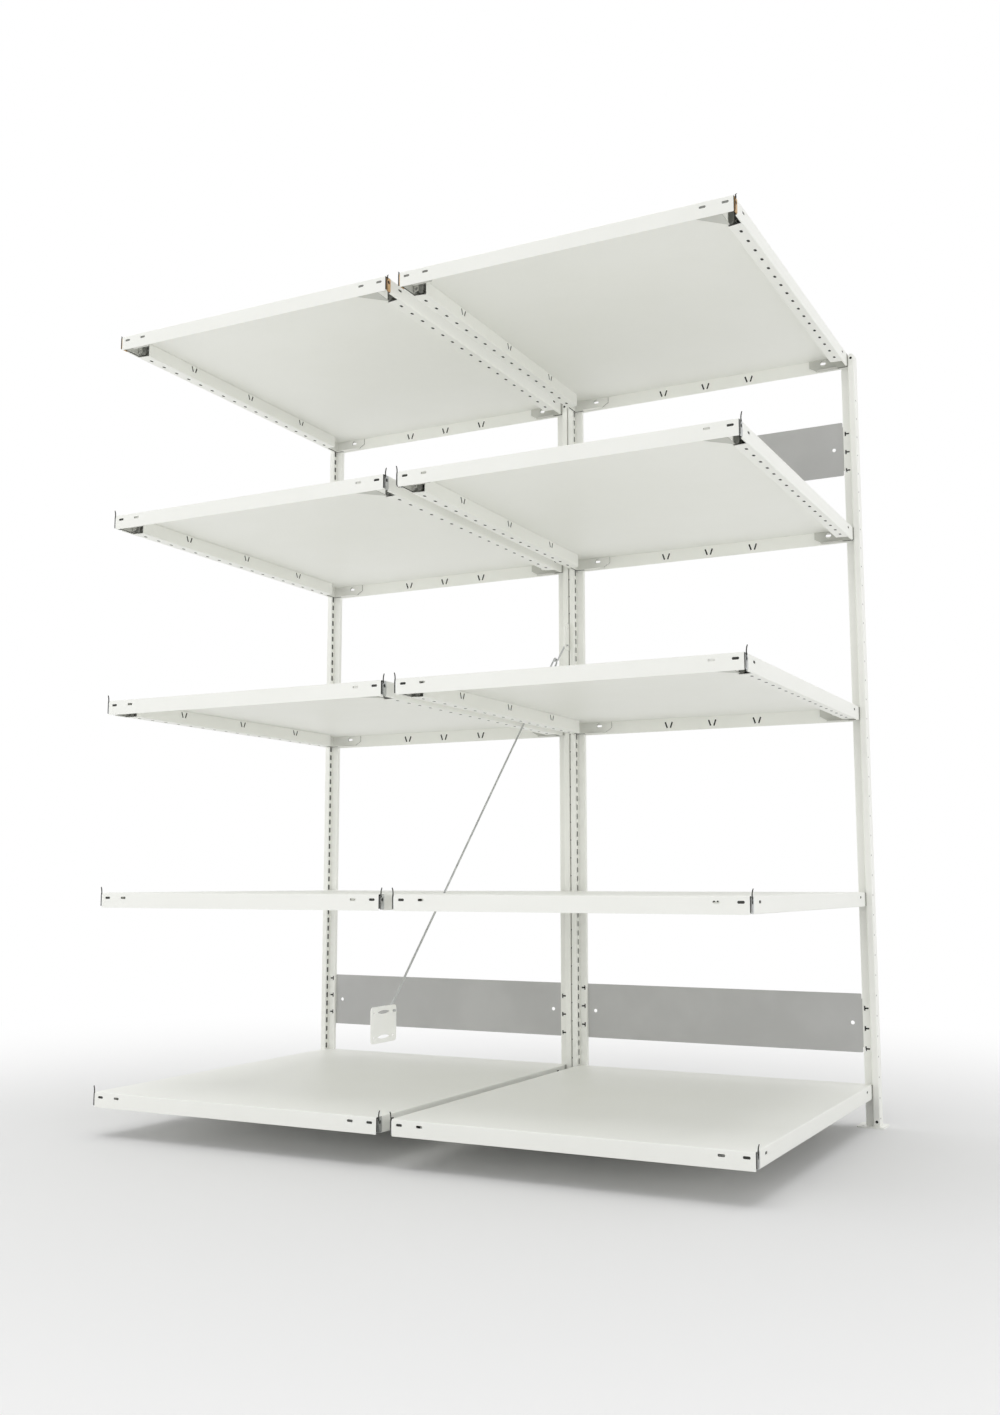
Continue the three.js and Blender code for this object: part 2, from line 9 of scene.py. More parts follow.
import bmesh
import bpy
from mathutils import Matrix, Vector
from mathutils.geometry import delaunay_2d_cdt


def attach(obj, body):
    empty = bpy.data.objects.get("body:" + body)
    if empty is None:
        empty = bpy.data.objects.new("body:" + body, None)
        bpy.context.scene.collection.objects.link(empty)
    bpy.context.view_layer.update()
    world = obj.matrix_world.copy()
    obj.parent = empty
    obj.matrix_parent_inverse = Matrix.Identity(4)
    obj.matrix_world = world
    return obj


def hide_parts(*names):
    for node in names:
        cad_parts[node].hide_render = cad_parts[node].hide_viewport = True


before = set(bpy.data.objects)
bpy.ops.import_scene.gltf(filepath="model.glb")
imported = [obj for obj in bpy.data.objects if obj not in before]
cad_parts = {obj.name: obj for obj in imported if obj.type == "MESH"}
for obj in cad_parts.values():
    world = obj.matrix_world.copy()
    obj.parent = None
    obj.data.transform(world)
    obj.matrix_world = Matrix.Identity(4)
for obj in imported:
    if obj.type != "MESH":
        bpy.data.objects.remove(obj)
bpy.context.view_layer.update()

log = logging.getLogger("shelving")

# Sizes below are millimetres, and a mesh is brought to metres when it is placed.
MILLIMETRE = 0.001
MERGE_DISTANCE = 0.01
SHARP_ANGLE = math.radians(28)
# Width of the flat edge that is drawn beside each bend.
FLAT_EDGE = 0.4

Mesh = bmesh.types.BMesh
Loop = Sequence[complex]
Pair = tuple[float, float]
Triple = tuple[float, float, float]
Rule = Callable[[float, float, float], Triple]
Colour = Triple


class Bay(Enum):
    """The two bays of the unit, named as seen from the front."""

    LEFT = "left"
    RIGHT = "right"

    @property
    def sign(self) -> int:
        """The side of the middle on which this bay lies."""
        return -1 if self is Bay.LEFT else 1


# Outlines


def outline(*pairs: Pair) -> list[complex]:
    """Points of an outline or of a folded section, from pairs of places."""
    return [complex(*pair) for pair in pairs]


def band(left: float, right: float, low: float, high: float) -> list[complex]:
    """Corners of a rectangle between two values on each axis."""
    return outline((left, low), (right, low), (right, high), (left, high))


def with_mirror(half: Loop, way: int = -1) -> list[complex]:
    """Half an outline and, on the way back, its mirror image: left to right for -1, upside down for 1."""
    return [*half, *(way * point.conjugate() for point in reversed(half))]


def turned_corners(loop: Loop, radius: float, steps: int) -> list[complex]:
    """Rounds every corner of an outline.

    Args:
        loop: Corners of the outline, in order.
        radius: Radius of the rounded corners.
        steps: Straight steps in each rounded corner.

    Returns:
        The points of the rounded outline.
    """
    points = []
    for before, corner, after in zip([loop[-1], *loop[:-1]], loop, [*loop[1:], loop[0]]):
        arriving = (corner - before) / abs(corner - before)
        leaving = (after - corner) / abs(after - corner)
        turn = cmath.phase(leaving / arriving)
        start = corner - arriving * radius * abs(math.tan(turn / 2))
        arm = -1j * arriving * math.copysign(radius, turn)
        points += [start - arm + arm * cmath.exp(1j * turn * step / steps) for step in range(steps + 1)]
    return points


def circle(centre: complex, radius: float, sides: int = 16) -> list[complex]:
    """Points of a round hole about its centre."""
    return [centre + radius * cmath.exp(2j * math.pi * (step + 0.5) / sides) for step in range(sides)]


def rectangle(centre: complex, width: float, height: float, corner: float, steps: int = 3) -> list[complex]:
    """Points of a rectangle with rounded corners about its centre."""
    loop = [centre + point for point in band(-width / 2, width / 2, -height / 2, height / 2)]
    return turned_corners(loop, corner, steps)


def anticlockwise(loop: Loop) -> list[complex]:
    """The same outline, turned round where it runs clockwise."""
    painted_floor_shade = sum((before.conjugate() * after).imag for before, after in pairwise([*loop, loop[0]]))
    return list(loop) if painted_floor_shade > 0 else list(reversed(loop))


# Meshes


def turn_outwards(mesh: Mesh) -> None:
    """Turns the faces of every closed shell of a mesh outwards.

    Args:
        mesh: The mesh, changed in place.
    """
    bmesh.ops.recalc_face_normals(mesh, faces=mesh.faces[:])
    mesh.normal_update()
    waiting = set(mesh.faces)
    while waiting:
        shell = [waiting.pop()]
        for face in shell:
            beside = {other for edge in face.edges for other in edge.link_faces} & waiting
            waiting -= beside
            shell += beside
        near = shell[0].verts[0].co.copy()
        if sum((face.verts[0].co - near).dot(face.normal) * face.calc_area() for face in shell) < 0:
            bmesh.ops.reverse_faces(mesh, faces=shell)


def mesh_data(name: str, mesh: Mesh) -> bpy.types.Mesh:
    """Moves a mesh into data that an object can show.

    Args:
        name: Name of the data.
        mesh: The mesh, which ends here.

    Returns:
        The data.
    """
    data = bpy.data.meshes.new(name)
    mesh.to_mesh(data)
    mesh.free()
    return data


def joined(*meshes: Mesh) -> Mesh:
    """One mesh that holds all of these, which end here.

    Args:
        meshes: The meshes to join.

    Returns:
        The one mesh.
    """
    whole = bmesh.new()
    for mesh in meshes:
        carrier = mesh_data("carrier", mesh)
        whole.from_mesh(carrier)
        bpy.data.meshes.remove(carrier)
    return whole


def shown(name: str, data: bpy.types.ID) -> bpy.types.Object:
    """A new object in the scene with this data.

    Args:
        name: Name of the object.
        data: What it shows or holds.

    Returns:
        The object.
    """
    made = bpy.data.objects.new(name, data)
    bpy.context.scene.collection.objects.link(made)
    return made


# Folded sheet


class FoldPath:
    """The skin of a folded section: straight runs with rounded corners between them.

    Points are complex numbers, and the sheet lies on the right of the way along the path.
    """

    def __init__(self, points: Loop, radius: float, sheet: float, start: float = 0.0) -> None:
        """Measures the path.

        Args:
            points: Its sharp corners, from one free end to the other.
            radius: Outer radius of its bends.
            sheet: Thickness of the sheet.
            start: Place of the first point along the path.
        """
        lengths = [abs(after - before) for before, after in pairwise(points)]
        self.points = list(points)
        self.ways = [(after - before) / length for (before, after), length in zip(pairwise(points), lengths)]
        self.marks = list(accumulate(lengths, initial=start))
        self.turns = [0.0] + [cmath.phase(after / before) for before, after in pairwise(self.ways)]
        self.radii = [0.0] + [radius if turn < 0 else radius - sheet for turn in self.turns[1:]]
        self.reaches = [r * abs(math.tan(turn / 2)) for r, turn in zip(self.radii, self.turns)]

    def at(self, place: float, depth: float) -> complex:
        """The point of the folded section at a place along the path and a depth in the sheet.

        Args:
            place: Length along the path, counted as its marks are.
            depth: Depth below the skin.

        Returns:
            The point in the plane of the section.
        """
        run = 0
        for corner in range(1, len(self.turns)):
            reach = self.reaches[corner]
            if abs(place - self.marks[corner]) < reach:
                way = self.ways[corner - 1]
                turn = self.turns[corner]
                side = -math.copysign(self.radii[corner], turn)
                centre = self.points[corner] - way * reach - 1j * way * side
                share = (place - self.marks[corner] + reach) / (2 * reach)
                return centre + 1j * way * (side - depth) * cmath.exp(1j * turn * share)
            if place > self.marks[corner]:
                run = corner
        way = self.ways[run]
        return self.points[run] + way * (place - self.marks[run]) - 1j * way * depth

    def upright(self, place: float, height: float, depth: float) -> Triple:
        """Folds a point of a blank in plan and keeps its height."""
        point = self.at(place, depth)
        return point.real, point.imag, height

    def ease(self, corner: int) -> float:
        """How far a bend and the flat edge beside it reach from their corner."""
        return self.reaches[corner] + FLAT_EDGE

    def bend(self, corner: int, steps: int = 5) -> list[float]:
        """Places of the creases of a bend, with one more on each side that keeps the flats flat.

        Args:
            corner: Number of the corner along the path.
            steps: Straight steps in the bend.

        Returns:
            The places, in rising order.
        """
        mark, reach = self.marks[corner], self.reaches[corner]
        creases = [mark - reach + 2 * reach * step / steps for step in range(steps + 1)]
        return [mark - self.ease(corner), *creases, mark + self.ease(corner)]

    def span(self, run: int) -> Pair:
        """Both ends of the flat part of a run.

        Args:
            run: Number of the run along the path.

        Returns:
            Where it starts and where it stops.
        """
        free = len(self.marks) - 2
        start = self.marks[run] + (self.ease(run) if run > 0 else 0.0)
        return start, self.marks[run + 1] - (self.ease(run + 1) if run < free else 0.0)


class Blank:
    """A flat sheet with holes, given its thickness and folded into shape."""

    def __init__(self, thickness: float) -> None:
        """Starts an empty sheet of this thickness."""
        self.thickness = thickness
        self.mesh = bmesh.new()

    def flat(self, loop: Loop, holes: Iterable[Loop] = (), finish: int = 0) -> None:
        """Adds a flat area.

        Args:
            loop: Its outline.
            holes: Outlines of the holes in it.
            finish: Index of its finish.
        """
        # The fill operator leaves gaps between long rows of holes, so the area is triangulated exactly.
        loops = [anticlockwise(ring) for ring in (loop, *holes)]
        ends = accumulate(map(len, loops), initial=0)
        rings = [list(range(first, last)) for first, last in pairwise(ends)]
        places = [Vector((point.real, point.imag)) for ring in loops for point in ring]
        points, _, triangles, _, _, sources = delaunay_2d_cdt(places, [], rings, 1, MERGE_DISTANCE / 10)
        corners = [self.mesh.verts.new((*point, 0.0)) for point in points]
        for triangle, source in zip(triangles, sources):
            if source == [0]:
                face = self.mesh.faces.new([corners[index] for index in triangle])
                face.material_index = finish

    def strip(self, places: Sequence[float], low: float, high: float, upright: bool = True,
              finish: int = 0) -> None:
        """Adds a run of narrow faces where the sheet bends.

        Args:
            places: Places of the creases across the bend.
            low: Lower end of the creases.
            high: Upper end of the creases.
            upright: Whether the creases run along Y, with their places along X.
            finish: Index of its finish.
        """
        ends = [Vector((places[0], end, 0.0) if upright else (end, places[0], 0.0)) for end in (low, high)]
        crease = self.mesh.edges.new([self.mesh.verts.new(end) for end in ends])
        across = Vector((1.0, 0.0, 0.0) if upright else (0.0, 1.0, 0.0))
        for before, after in pairwise(places):
            grown = bmesh.ops.extrude_edge_only(self.mesh, edges=[crease])["geom"]
            moved = [item for item in grown if isinstance(item, bmesh.types.BMVert)]
            bmesh.ops.translate(self.mesh, verts=moved, vec=across * (after - before))
            for item in grown:
                if isinstance(item, bmesh.types.BMFace):
                    item.material_index = finish
                elif isinstance(item, bmesh.types.BMEdge) and all(corner in moved for corner in item.verts):
                    crease = item

    def folded(self, rule: Rule, outside: int | None = None, inside: int | None = None,
               sunk: float = 0.0) -> Mesh:
        """Joins the areas, gives the sheet its thickness and folds it.

        Args:
            rule: Gives the place of a point from its two places in the blank and its depth in the sheet.
            outside: Finish of the whole first skin, where it differs from the areas' own.
            inside: Finish of the whole second skin, where it differs from the areas' own.
            sunk: Depth of the first skin.

        Returns:
            The mesh of the folded sheet.
        """
        bmesh.ops.remove_doubles(self.mesh, verts=self.mesh.verts[:], dist=MERGE_DISTANCE)
        grown = bmesh.ops.extrude_face_region(self.mesh, geom=self.mesh.faces[:])["geom"]
        moved = {item for item in grown if isinstance(item, bmesh.types.BMVert)}
        bmesh.ops.translate(self.mesh, verts=list(moved), vec=(0.0, 0.0, -self.thickness))
        for face in self.mesh.faces:
            below = [corner in moved for corner in face.verts]
            if inside is not None and all(below):
                face.material_index = inside
            if outside is not None and not any(below):
                face.material_index = outside
        for corner in self.mesh.verts:
            corner.co = rule(corner.co.x, corner.co.y, sunk - corner.co.z)
        turn_outwards(self.mesh)
        return self.mesh


# Shader maths


def operator(operation: str, reflected: bool = False) -> Callable[["Shade", "Shade | float"], "Shade"]:
    """Makes a method of Shade.

    Args:
        operation: What the Math node that it adds does.
        reflected: Whether the shade is the second of the two values, as in 1 - mask.

    Returns:
        The method.
    """
    def method(self: "Shade", other: "Shade | float") -> "Shade":
        """Adds the node."""
        first, second = (other, self) if reflected else (self, other)
        return self.tree.add("ShaderNodeMath", {"operation": operation}, Value=first, Value_001=second)

    return method


class Shade:
    """One output of a node, with arithmetic that adds Math nodes."""

    def __init__(self, tree: "FinishTree", socket: bpy.types.NodeSocket) -> None:
        """Wraps a socket of a tree."""
        self.tree = tree
        self.socket = socket

    __add__ = __radd__ = operator("ADD")
    __sub__ = operator("SUBTRACT")
    __rsub__ = operator("SUBTRACT", reflected=True)
    __mul__ = __rmul__ = operator("MULTIPLY")

    def ramp(self, low: float, high: float) -> "Shade":
        """Maps a range of this value smoothly to 0 to 1."""
        ends = {"From Min": low, "From Max": high}
        return self.tree.add("ShaderNodeMapRange", {"interpolation_type": "SMOOTHSTEP"}, Value=self, **ends)


class FinishTree:
    """The nodes of one material or world."""

    def __init__(self, owner: bpy.types.Material | bpy.types.World) -> None:
        """Empties the tree of a material or world and keeps it.

        Args:
            owner: The material or world.
        """
        owner.use_nodes = True
        self.tree = owner.node_tree
        self.tree.nodes.clear()

    def node(self, kind: str, settings: dict[str, object], **values: object) -> bpy.types.Node:
        """Adds one node.

        Args:
            kind: Type of the node.
            settings: Properties set before the sockets are filled.
            values: Values or links of its sockets, by their identifiers.

        Returns:
            The node.
        """
        made = self.tree.nodes.new(kind)
        for name, setting in settings.items():
            setattr(made, name, setting)
        sockets = {socket.identifier: socket for socket in made.inputs}
        for name, value in values.items():
            if isinstance(value, Shade):
                self.tree.links.new(value.socket, sockets[name])
            else:
                sockets[name].default_value = value
        return made

    def add(self, kind: str, settings: dict[str, object], output: str = "", **values: object) -> Shade:
        """Adds one node and gives one of its outputs, the first where none is named.

        Args:
            kind: Type of the node.
            settings: Properties set before the sockets are filled.
            output: Identifier of the output, empty for the first one.
            values: Values or links of its sockets, by their identifiers.

        Returns:
            The output.
        """
        made = self.node(kind, settings, **values)
        outputs = {socket.identifier: socket for socket in made.outputs}
        return Shade(self, outputs[output] if output else made.outputs[0])

    def place(self) -> Shade:
        """The place on the object, in metres."""
        return self.add("ShaderNodeTexCoord", {}, "Object")

    def noise(self, scale: float, detail: float = 2.0, stretch: tuple[float, ...] = (1.0, 1.0, 1.0)) -> Shade:
        """Soft noise from 0 to 1: patches in a metre, octaves of finer noise, multipliers of the axes."""
        place = self.add("ShaderNodeMapping", {}, Vector=self.place(), Scale=stretch)
        return self.add("ShaderNodeTexNoise", {}, Vector=place, Scale=scale, Detail=detail)

    def blend(self, share: Shade, first: Shade | Colour, second: Shade | Colour) -> Shade:
        """A colour between two colours.

        Args:
            share: How much of the second colour shows, from 0 to 1.
            first: The colour at 0.
            second: The colour at 1.

        Returns:
            The colour.
        """
        first, second = (end if isinstance(end, Shade) else (*end, 1.0) for end in (first, second))
        return self.add("ShaderNodeMix", {"data_type": "RGBA"}, "Result_Color", Factor_Float=share,
                        A_Color=first, B_Color=second)

    def bump(self, height: Shade, distance: float, strength: float) -> Shade:
        """A normal from a height field whose values 0 and 1 lie a distance in metres apart."""
        return self.add("ShaderNodeBump", {}, "Normal", Height=height, Distance=distance, Strength=strength)

    def seen_by(self, *rays: str) -> Shade:
        """1 for these kinds of rays and 0 for all others.

        Args:
            rays: Kinds of rays, as the Light Path node names them.

        Returns:
            The mask.
        """
        path = self.node("ShaderNodeLightPath", {})
        first, *others = (Shade(self, path.outputs[f"Is {kind} Ray"]) for kind in rays)
        return sum(others, first)

    def finish(self, output: str, surface: Shade) -> None:
        """Ends the tree in an output of this kind."""
        self.node(output, {}, Surface=surface)


@dataclass(frozen=True)
class Coat:
    """What every finish has: two colours that cloud into each other, and a roughness."""

    name: str
    light: Colour
    dark: Colour
    roughness: float

    def surface(self, tree: FinishTree) -> dict[str, object]:
        """Values of the principled surface, by the names of its sockets."""
        raise NotImplementedError

    def material(self) -> bpy.types.Material:
        """Makes the material of this finish.

        Returns:
            The material.
        """
        made = bpy.data.materials.new(self.name)
        tree = FinishTree(made)
        surface = tree.add("ShaderNodeBsdfPrincipled", {}, **self.surface(tree))
        tree.finish("ShaderNodeOutputMaterial", surface)
        return made


@dataclass(frozen=True)
class Enamel(Coat):
    """Baked paint on steel: smooth, slightly pebbled, with faint clouds in its colour."""

    pebble_height: float = 0.000045
    bump_strength: float = 0.5
    wave_sheen: float = 0.14
    handling_sheen: float = 0.06
    speck_share: float = 0.10
    speck_shade: float = 0.72
    specular: float = 0.42

    def surface(self, tree: FinishTree) -> dict[str, object]:
        """Values of the principled surface, by the names of its sockets.

        Args:
            tree: The nodes of the material, which grow.

        Returns:
            Values or links of the surface, by the names of its sockets.
        """
        clouds = tree.noise(scale=7.0, detail=3.0).ramp(0.3, 0.7)
        specks = tree.noise(scale=420.0).ramp(0.66, 0.74)
        pebbles = tree.noise(scale=900.0, detail=1.0)
        waves = tree.noise(scale=18.0)
        handling = tree.noise(scale=34.0, detail=4.0, stretch=(1.0, 1.0, 2.6)).ramp(0.5, 0.72)
        speck = tuple(self.speck_shade * part for part in self.dark)
        colour = tree.blend(clouds, self.light, self.dark)
        return {
            "Base Color": tree.blend(specks * self.speck_share, colour, speck),
            "Roughness": self.roughness + (waves - 0.5) * self.wave_sheen + handling * self.handling_sheen,
            "Normal": tree.bump(pebbles * 0.8 + waves * 0.6, self.pebble_height, self.bump_strength),
            "Specular IOR Level": self.specular,
        }


@dataclass(frozen=True)
class Zinc(Coat):
    """Electroplated zinc on pressed steel: cloudy metal with fine rolling marks."""

    tint: Colour
    metallic: float = 0.85
    mark_height: float = 0.00003
    bump_strength: float = 0.6
    mark_sheen: float = 0.22
    crystal_sheen: float = 0.08
    tint_share: float = 0.55

    def surface(self, tree: FinishTree) -> dict[str, object]:
        """Values of the principled surface, by the names of its sockets.

        Args:
            tree: The nodes of the material, which grow.

        Returns:
            Values or links of the surface, by the names of its sockets.
        """
        clouds = tree.noise(scale=60.0, detail=3.0).ramp(0.3, 0.7)
        rolling = tree.noise(scale=160.0, stretch=(1.0, 1.0, 9.0))
        crystals = tree.add("ShaderNodeTexVoronoi", {}, "Distance", Vector=tree.place(), Scale=420.0)
        tinting = tree.noise(scale=110.0).ramp(0.45, 0.68)
        colour = tree.blend(clouds * 0.7 + crystals * 0.4, self.light, self.dark)
        return {
            "Base Color": tree.blend(tinting * self.tint_share, colour, self.tint),
            "Metallic": self.metallic,
            "Roughness": self.roughness + (rolling - 0.5) * self.mark_sheen + crystals * self.crystal_sheen,
            "Normal": tree.bump(rolling + crystals * 0.5, self.mark_height, self.bump_strength),
        }


class Finish(Enum):
    """The finishes of the unit."""

    WHITE = Enamel("white_baked_enamel", (0.955, 0.960, 0.915), (0.940, 0.946, 0.898), 0.42)
    GREY = Enamel("grey_baked_enamel", (0.54, 0.54, 0.535), (0.50, 0.50, 0.495), 0.44, 0.00006)
    # Painted shade: the brackets are painted the trays' white, and these two darker copies stand for shade on
    # them.
    BRACKET_SHADE = Enamel("bracket_enamel_painted_shade", (0.640, 0.645, 0.600), (0.580, 0.585, 0.540), 0.50)
    MUTED = Enamel("bracket_enamel_light_painted_shade", (0.925, 0.930, 0.885), (0.870, 0.875, 0.830), 0.50)
    # Painted shade: dim grey inside the uprights, and near black in closed recesses and behind holes.
    INSIDE_SHADE = Enamel("inside_enamel_painted_shade", (0.170, 0.170, 0.160), (0.130, 0.130, 0.122), 0.70)
    SHADED = Enamel("shaded_recess_enamel", (0.022, 0.022, 0.020), (0.012, 0.012, 0.011), 0.85)
    BRIGHT = Zinc("bright_zinc_plating", (0.66, 0.67, 0.66), (0.48, 0.49, 0.49), 0.36, (0.58, 0.60, 0.63))
    YELLOW = Zinc("yellow_zinc_plating", (0.72, 0.50, 0.25), (0.40, 0.25, 0.10), 0.38, (0.55, 0.30, 0.20))
    # Painted shade: near black zinc for bracket legs, lugs, walls and hook plates that lie in deep shade.
    DARK = Zinc("zinc_deep_painted_shade", (0.06, 0.062, 0.055), (0.03, 0.031, 0.028), 0.7, (0.05, 0.05, 0.04), 0.1)
    # Dull grey zinc: painted shade on the front cross walls and top front rail legs, and the dull zinc of the
    # rear lugs.
    DULL = Zinc("zinc_dull_and_painted_shade", (0.29, 0.295, 0.272), (0.19, 0.194, 0.18), 0.55, (0.22, 0.22, 0.19), 0.3)
    # Painted shade: the yellow zinc of the top rear hook plates, darkened to brown where they lie in shade.
    AGED = Zinc("yellow_zinc_painted_shade", (0.12, 0.06, 0.034), (0.06, 0.03, 0.018), 0.55, (0.09, 0.035, 0.02), 0.3)

    @property
    def dressed(self) -> bpy.types.Material:
        """The material of this finish, made when it is first asked for."""
        return bpy.data.materials.get(self.value.name) or self.value.material()


# Pieces


@dataclass
class UnitSizes:
    """Sizes that the sub-assemblies share."""

    tray_length: float = 800.0
    tray_depth: float = 992.0
    bay_gap: float = 38.0
    levels: tuple[float, ...] = (105.0, 580.0, 1055.0, 1530.0, 2005.0)
    upright_foot: float = 3.0
    upright_height: float = 2000.0
    panel_rows: tuple[tuple[str, float], ...] = (("lower", 252.0), ("upper", 1752.0))
    bolt_middle: float = 2.5
    bolts: tuple[tuple[str, float], ...] = (
        ("upright_joining_1", 203.0), ("upright_joining_2", 843.0), ("upright_joining_3", 1803.0),
        ("brace_plate_1", 1276.0), ("brace_plate_2", 1328.0),
    )

    @property
    def end(self) -> float:
        """Distance from a bay's middle to the ends of its trays."""
        return self.tray_length / 2

    @property
    def rail_plane(self) -> float:
        """Distance from the middle to the outer face of the front and rear rails."""
        return self.tray_depth / 2

    @property
    def bay_centre(self) -> float:
        """Distance from the unit's middle to a bay's middle."""
        return (self.tray_length + self.bay_gap) / 2

    def shelves(self) -> Iterator[tuple[str, int, Vector]]:
        """Each shelf's bay and level, and the middle of its top face.

        Yields:
            The bay's name, the level counted from 1, and the place.
        """
        for bay in Bay:
            for level, top in enumerate(self.levels, start=1):
                yield bay.value, level, Vector((bay.sign * self.bay_centre, 0.0, top))

    def uprights(self) -> Iterator[tuple[str, int, bool, Matrix]]:
        """Each upright's name, the side on which its bay lies, whether it is a middle one, and its place.

        Yields:
            The name, the side as 1 or -1, True for a middle one, and the place.
        """
        outer, inner = self.bay_centre + self.end, self.bay_gap / 2
        for name, x, bay in (("left", -outer, 1), ("centre_left", -inner, -1), ("centre_right", inner, 1),
                             ("right", outer, -1)):
            place = Matrix.Translation((x, self.rail_plane, 0.0)) @ Matrix.Diagonal((-bay, 1.0, 1.0, 1.0))
            yield name, bay, abs(x) == inner, place


@dataclass
class Part:
    """What every sub-assembly has: the unit's sizes, and a way to put a piece in place."""

    unit: UnitSizes

    def put(self, name: str, mesh: Mesh, finishes: Sequence[Finish], body: str, slot: str,
            place: Matrix = Matrix.Identity(4), node: str | None = None) -> None:
        """Makes a finished object of a mesh and lets it ride on its body.

        Args:
            name: Name of the piece.
            mesh: Its shape in millimetres, which stays as it is.
            finishes: Finishes in the order of the shape's indices.
            body: Body on which it rides.
            slot: Material slot named for the piece; not used.
            place: Turn, mirror or move from the shape's own axes, in millimetres.
            node: CAD node that it stands for.
        """
        shape = mesh.copy()
        bmesh.ops.transform(shape, matrix=Matrix.Scale(MILLIMETRE, 4) @ place, verts=shape.verts[:])
        if place.determinant() < 0:
            bmesh.ops.reverse_faces(shape, faces=shape.faces[:])
        for edge in shape.edges:
            edge.smooth = len(edge.link_faces) == 2 and edge.calc_face_angle() < SHARP_ANGLE
        for face in shape.faces:
            face.smooth = True
        data = mesh_data(name, shape)
        for finish in finishes:
            data.materials.append(finish.dressed)
        piece = shown(name, data)
        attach(piece, body)
        if node:
            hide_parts(node)
        log.info("%s: %d faces on %s", name, len(data.polygons), body)


@dataclass
class Trays(Part):
    """The ten pressed trays: one sheet folded down on four sides, its side edges closed into boxes below."""

    sheet: float = 1.2
    bend_radius: float = 2.4
    height: float = 36.0
    notch: float = 22.0
    lip_width: float = 34.0
    lip_edge: float = 1.0
    lip_start: float = 61.0
    lip_end_slant: float = 4.0
    return_gap: float = 1.6
    slot_drop: float = 12.6
    slot: Triple = (15.0, 5.6, 2.4)
    slot_insets: tuple[float, ...] = (18.5, 68.0)
    flange_slot_inset: float = 65.0
    lip_hole: Triple = (6.4, 12.0, 3.4)
    lip_hole_inset: float = 15.0
    lip_hole_pitch: float = 50.0
    lip_holes_each_way: int = 8
    recess_depth: float = 0.1
    recess_inset: float = 0.02
    slit_width: float = 4.2
    slit_spread: Pair = (4.6, 10.2)
    slit_spots: tuple[float, ...] = (-250.0, 0.0, 250.0)
    rail_slit_spots: tuple[float, ...] = (-125.0, 0.0, 125.0)
    rail_slit_ends: Pair = (28.0, 11.5)
    return_slit_ends: Pair = (16.5, 30.5)

    def slit_pair(self, along: float, edge: float, ends: Pair) -> list[list[complex]]:
        """Two slanted slits that form an open V in a flange.

        Args:
            along: Middle of the pair along the flange.
            edge: Place of the fold.
            ends: Distances from the fold to the V's point and to its open end.

        Returns:
            The outlines of both slits, with the flange along X.
        """
        slits = []
        for lean in (-1, 1):
            low, high = (complex(along + lean * x, edge + y) for x, y in zip(self.slit_spread, ends))
            across = 0.5j * self.slit_width * (high - low) / abs(high - low)
            slits.append([low - across, high - across, high + across, low + across])
        return slits

    def shape(self) -> Mesh:
        """Folds the sheet of one tray about the middle of its top face.

        Returns:
            The mesh of the folded tray.
        """
        end, plane, low = self.unit.end, self.unit.rail_plane, -self.height
        run, inner, rise = plane - self.notch, end - self.lip_width, self.height - self.return_gap
        hem, turn = end + self.height, end + self.height + self.lip_width
        left_side = outline((-inner, low + rise), (-inner, low), (-end, low), (-end, 0))
        sides = FoldPath(with_mirror(left_side), self.bend_radius, self.sheet, -turn - rise)
        front_rail = outline((-plane, low), (-plane, 0))
        rails = FoldPath(with_mirror(front_rail), self.bend_radius, self.sheet, low - plane)
        ease = sides.ease(3)
        lip_from = plane - self.lip_start
        lip_back = lip_from - self.lip_end_slant
        length, height, corner = self.slot
        flange_slot = (height, length, corner)
        blank = Blank(self.sheet)
        filling = self.sheet - self.recess_depth - self.recess_inset
        flange_recesses, lip_recesses = Blank(filling), Blank(filling)
        blank.flat(with_mirror(with_mirror(outline((end - ease, run), (end, run), (end, plane - ease))), 1))
        for side in (-1, 1):
            blank.strip(rails.bend(1 if side < 0 else 2), -end, end, upright=False)
            for fold, reach in zip((3, 2, 1) if side < 0 else (4, 5, 6), (run, run, lip_back)):
                blank.strip(sides.bend(fold), -reach, reach)
            slots = [rectangle(complex(way * (end - inset), side * (plane + self.slot_drop)), *self.slot)
                     for way in (-1, 1) for inset in self.slot_insets]
            slits = [slit for spot in self.rail_slit_spots if side > 0
                     for slit in self.slit_pair(spot, plane, self.rail_slit_ends)]
            blank.flat(band(-end, end, side * (plane + ease), side * (plane + self.height)), slots + slits)
            line = side * (end + self.slot_drop)
            slots = [rectangle(complex(line, way * (plane - self.flange_slot_inset)), *flange_slot)
                     for way in (-1, 1)]
            blank.flat(band(side * (end + ease), side * (hem - ease), -run, run), slots)
            line = side * (hem + self.lip_hole_inset)
            holes = [rectangle(complex(line, step * self.lip_hole_pitch), *self.lip_hole)
                     for step in range(-self.lip_holes_each_way, self.lip_holes_each_way + 1)]
            edge = hem + ease + self.lip_edge
            cut = outline((hem + ease, run), (edge, run), (edge, lip_from), (turn - ease, lip_back))
            blank.flat([complex(side * point.real, point.imag) for point in with_mirror(cut, 1)], holes)
            pressings = [[complex(side * point.imag, point.real) for point in slit]
                         for spot in self.slit_spots
                         for slit in self.slit_pair(spot, turn, self.return_slit_ends)]
            blank.flat(band(side * (turn + ease), side * (turn + rise), -lip_back, lip_back), pressings)
            for slit in slits:
                flange_recesses.flat(slit)
            for opening in (*holes, *pressings):
                lip_recesses.flat(opening, finish=1)

        def fold_tray(x: float, y: float, depth: float) -> Triple:
            """Folds both pairs of flanges."""
            across, along = sides.at(x, depth), rails.at(y, depth)
            return across.real, along.real, across.imag + along.imag + depth

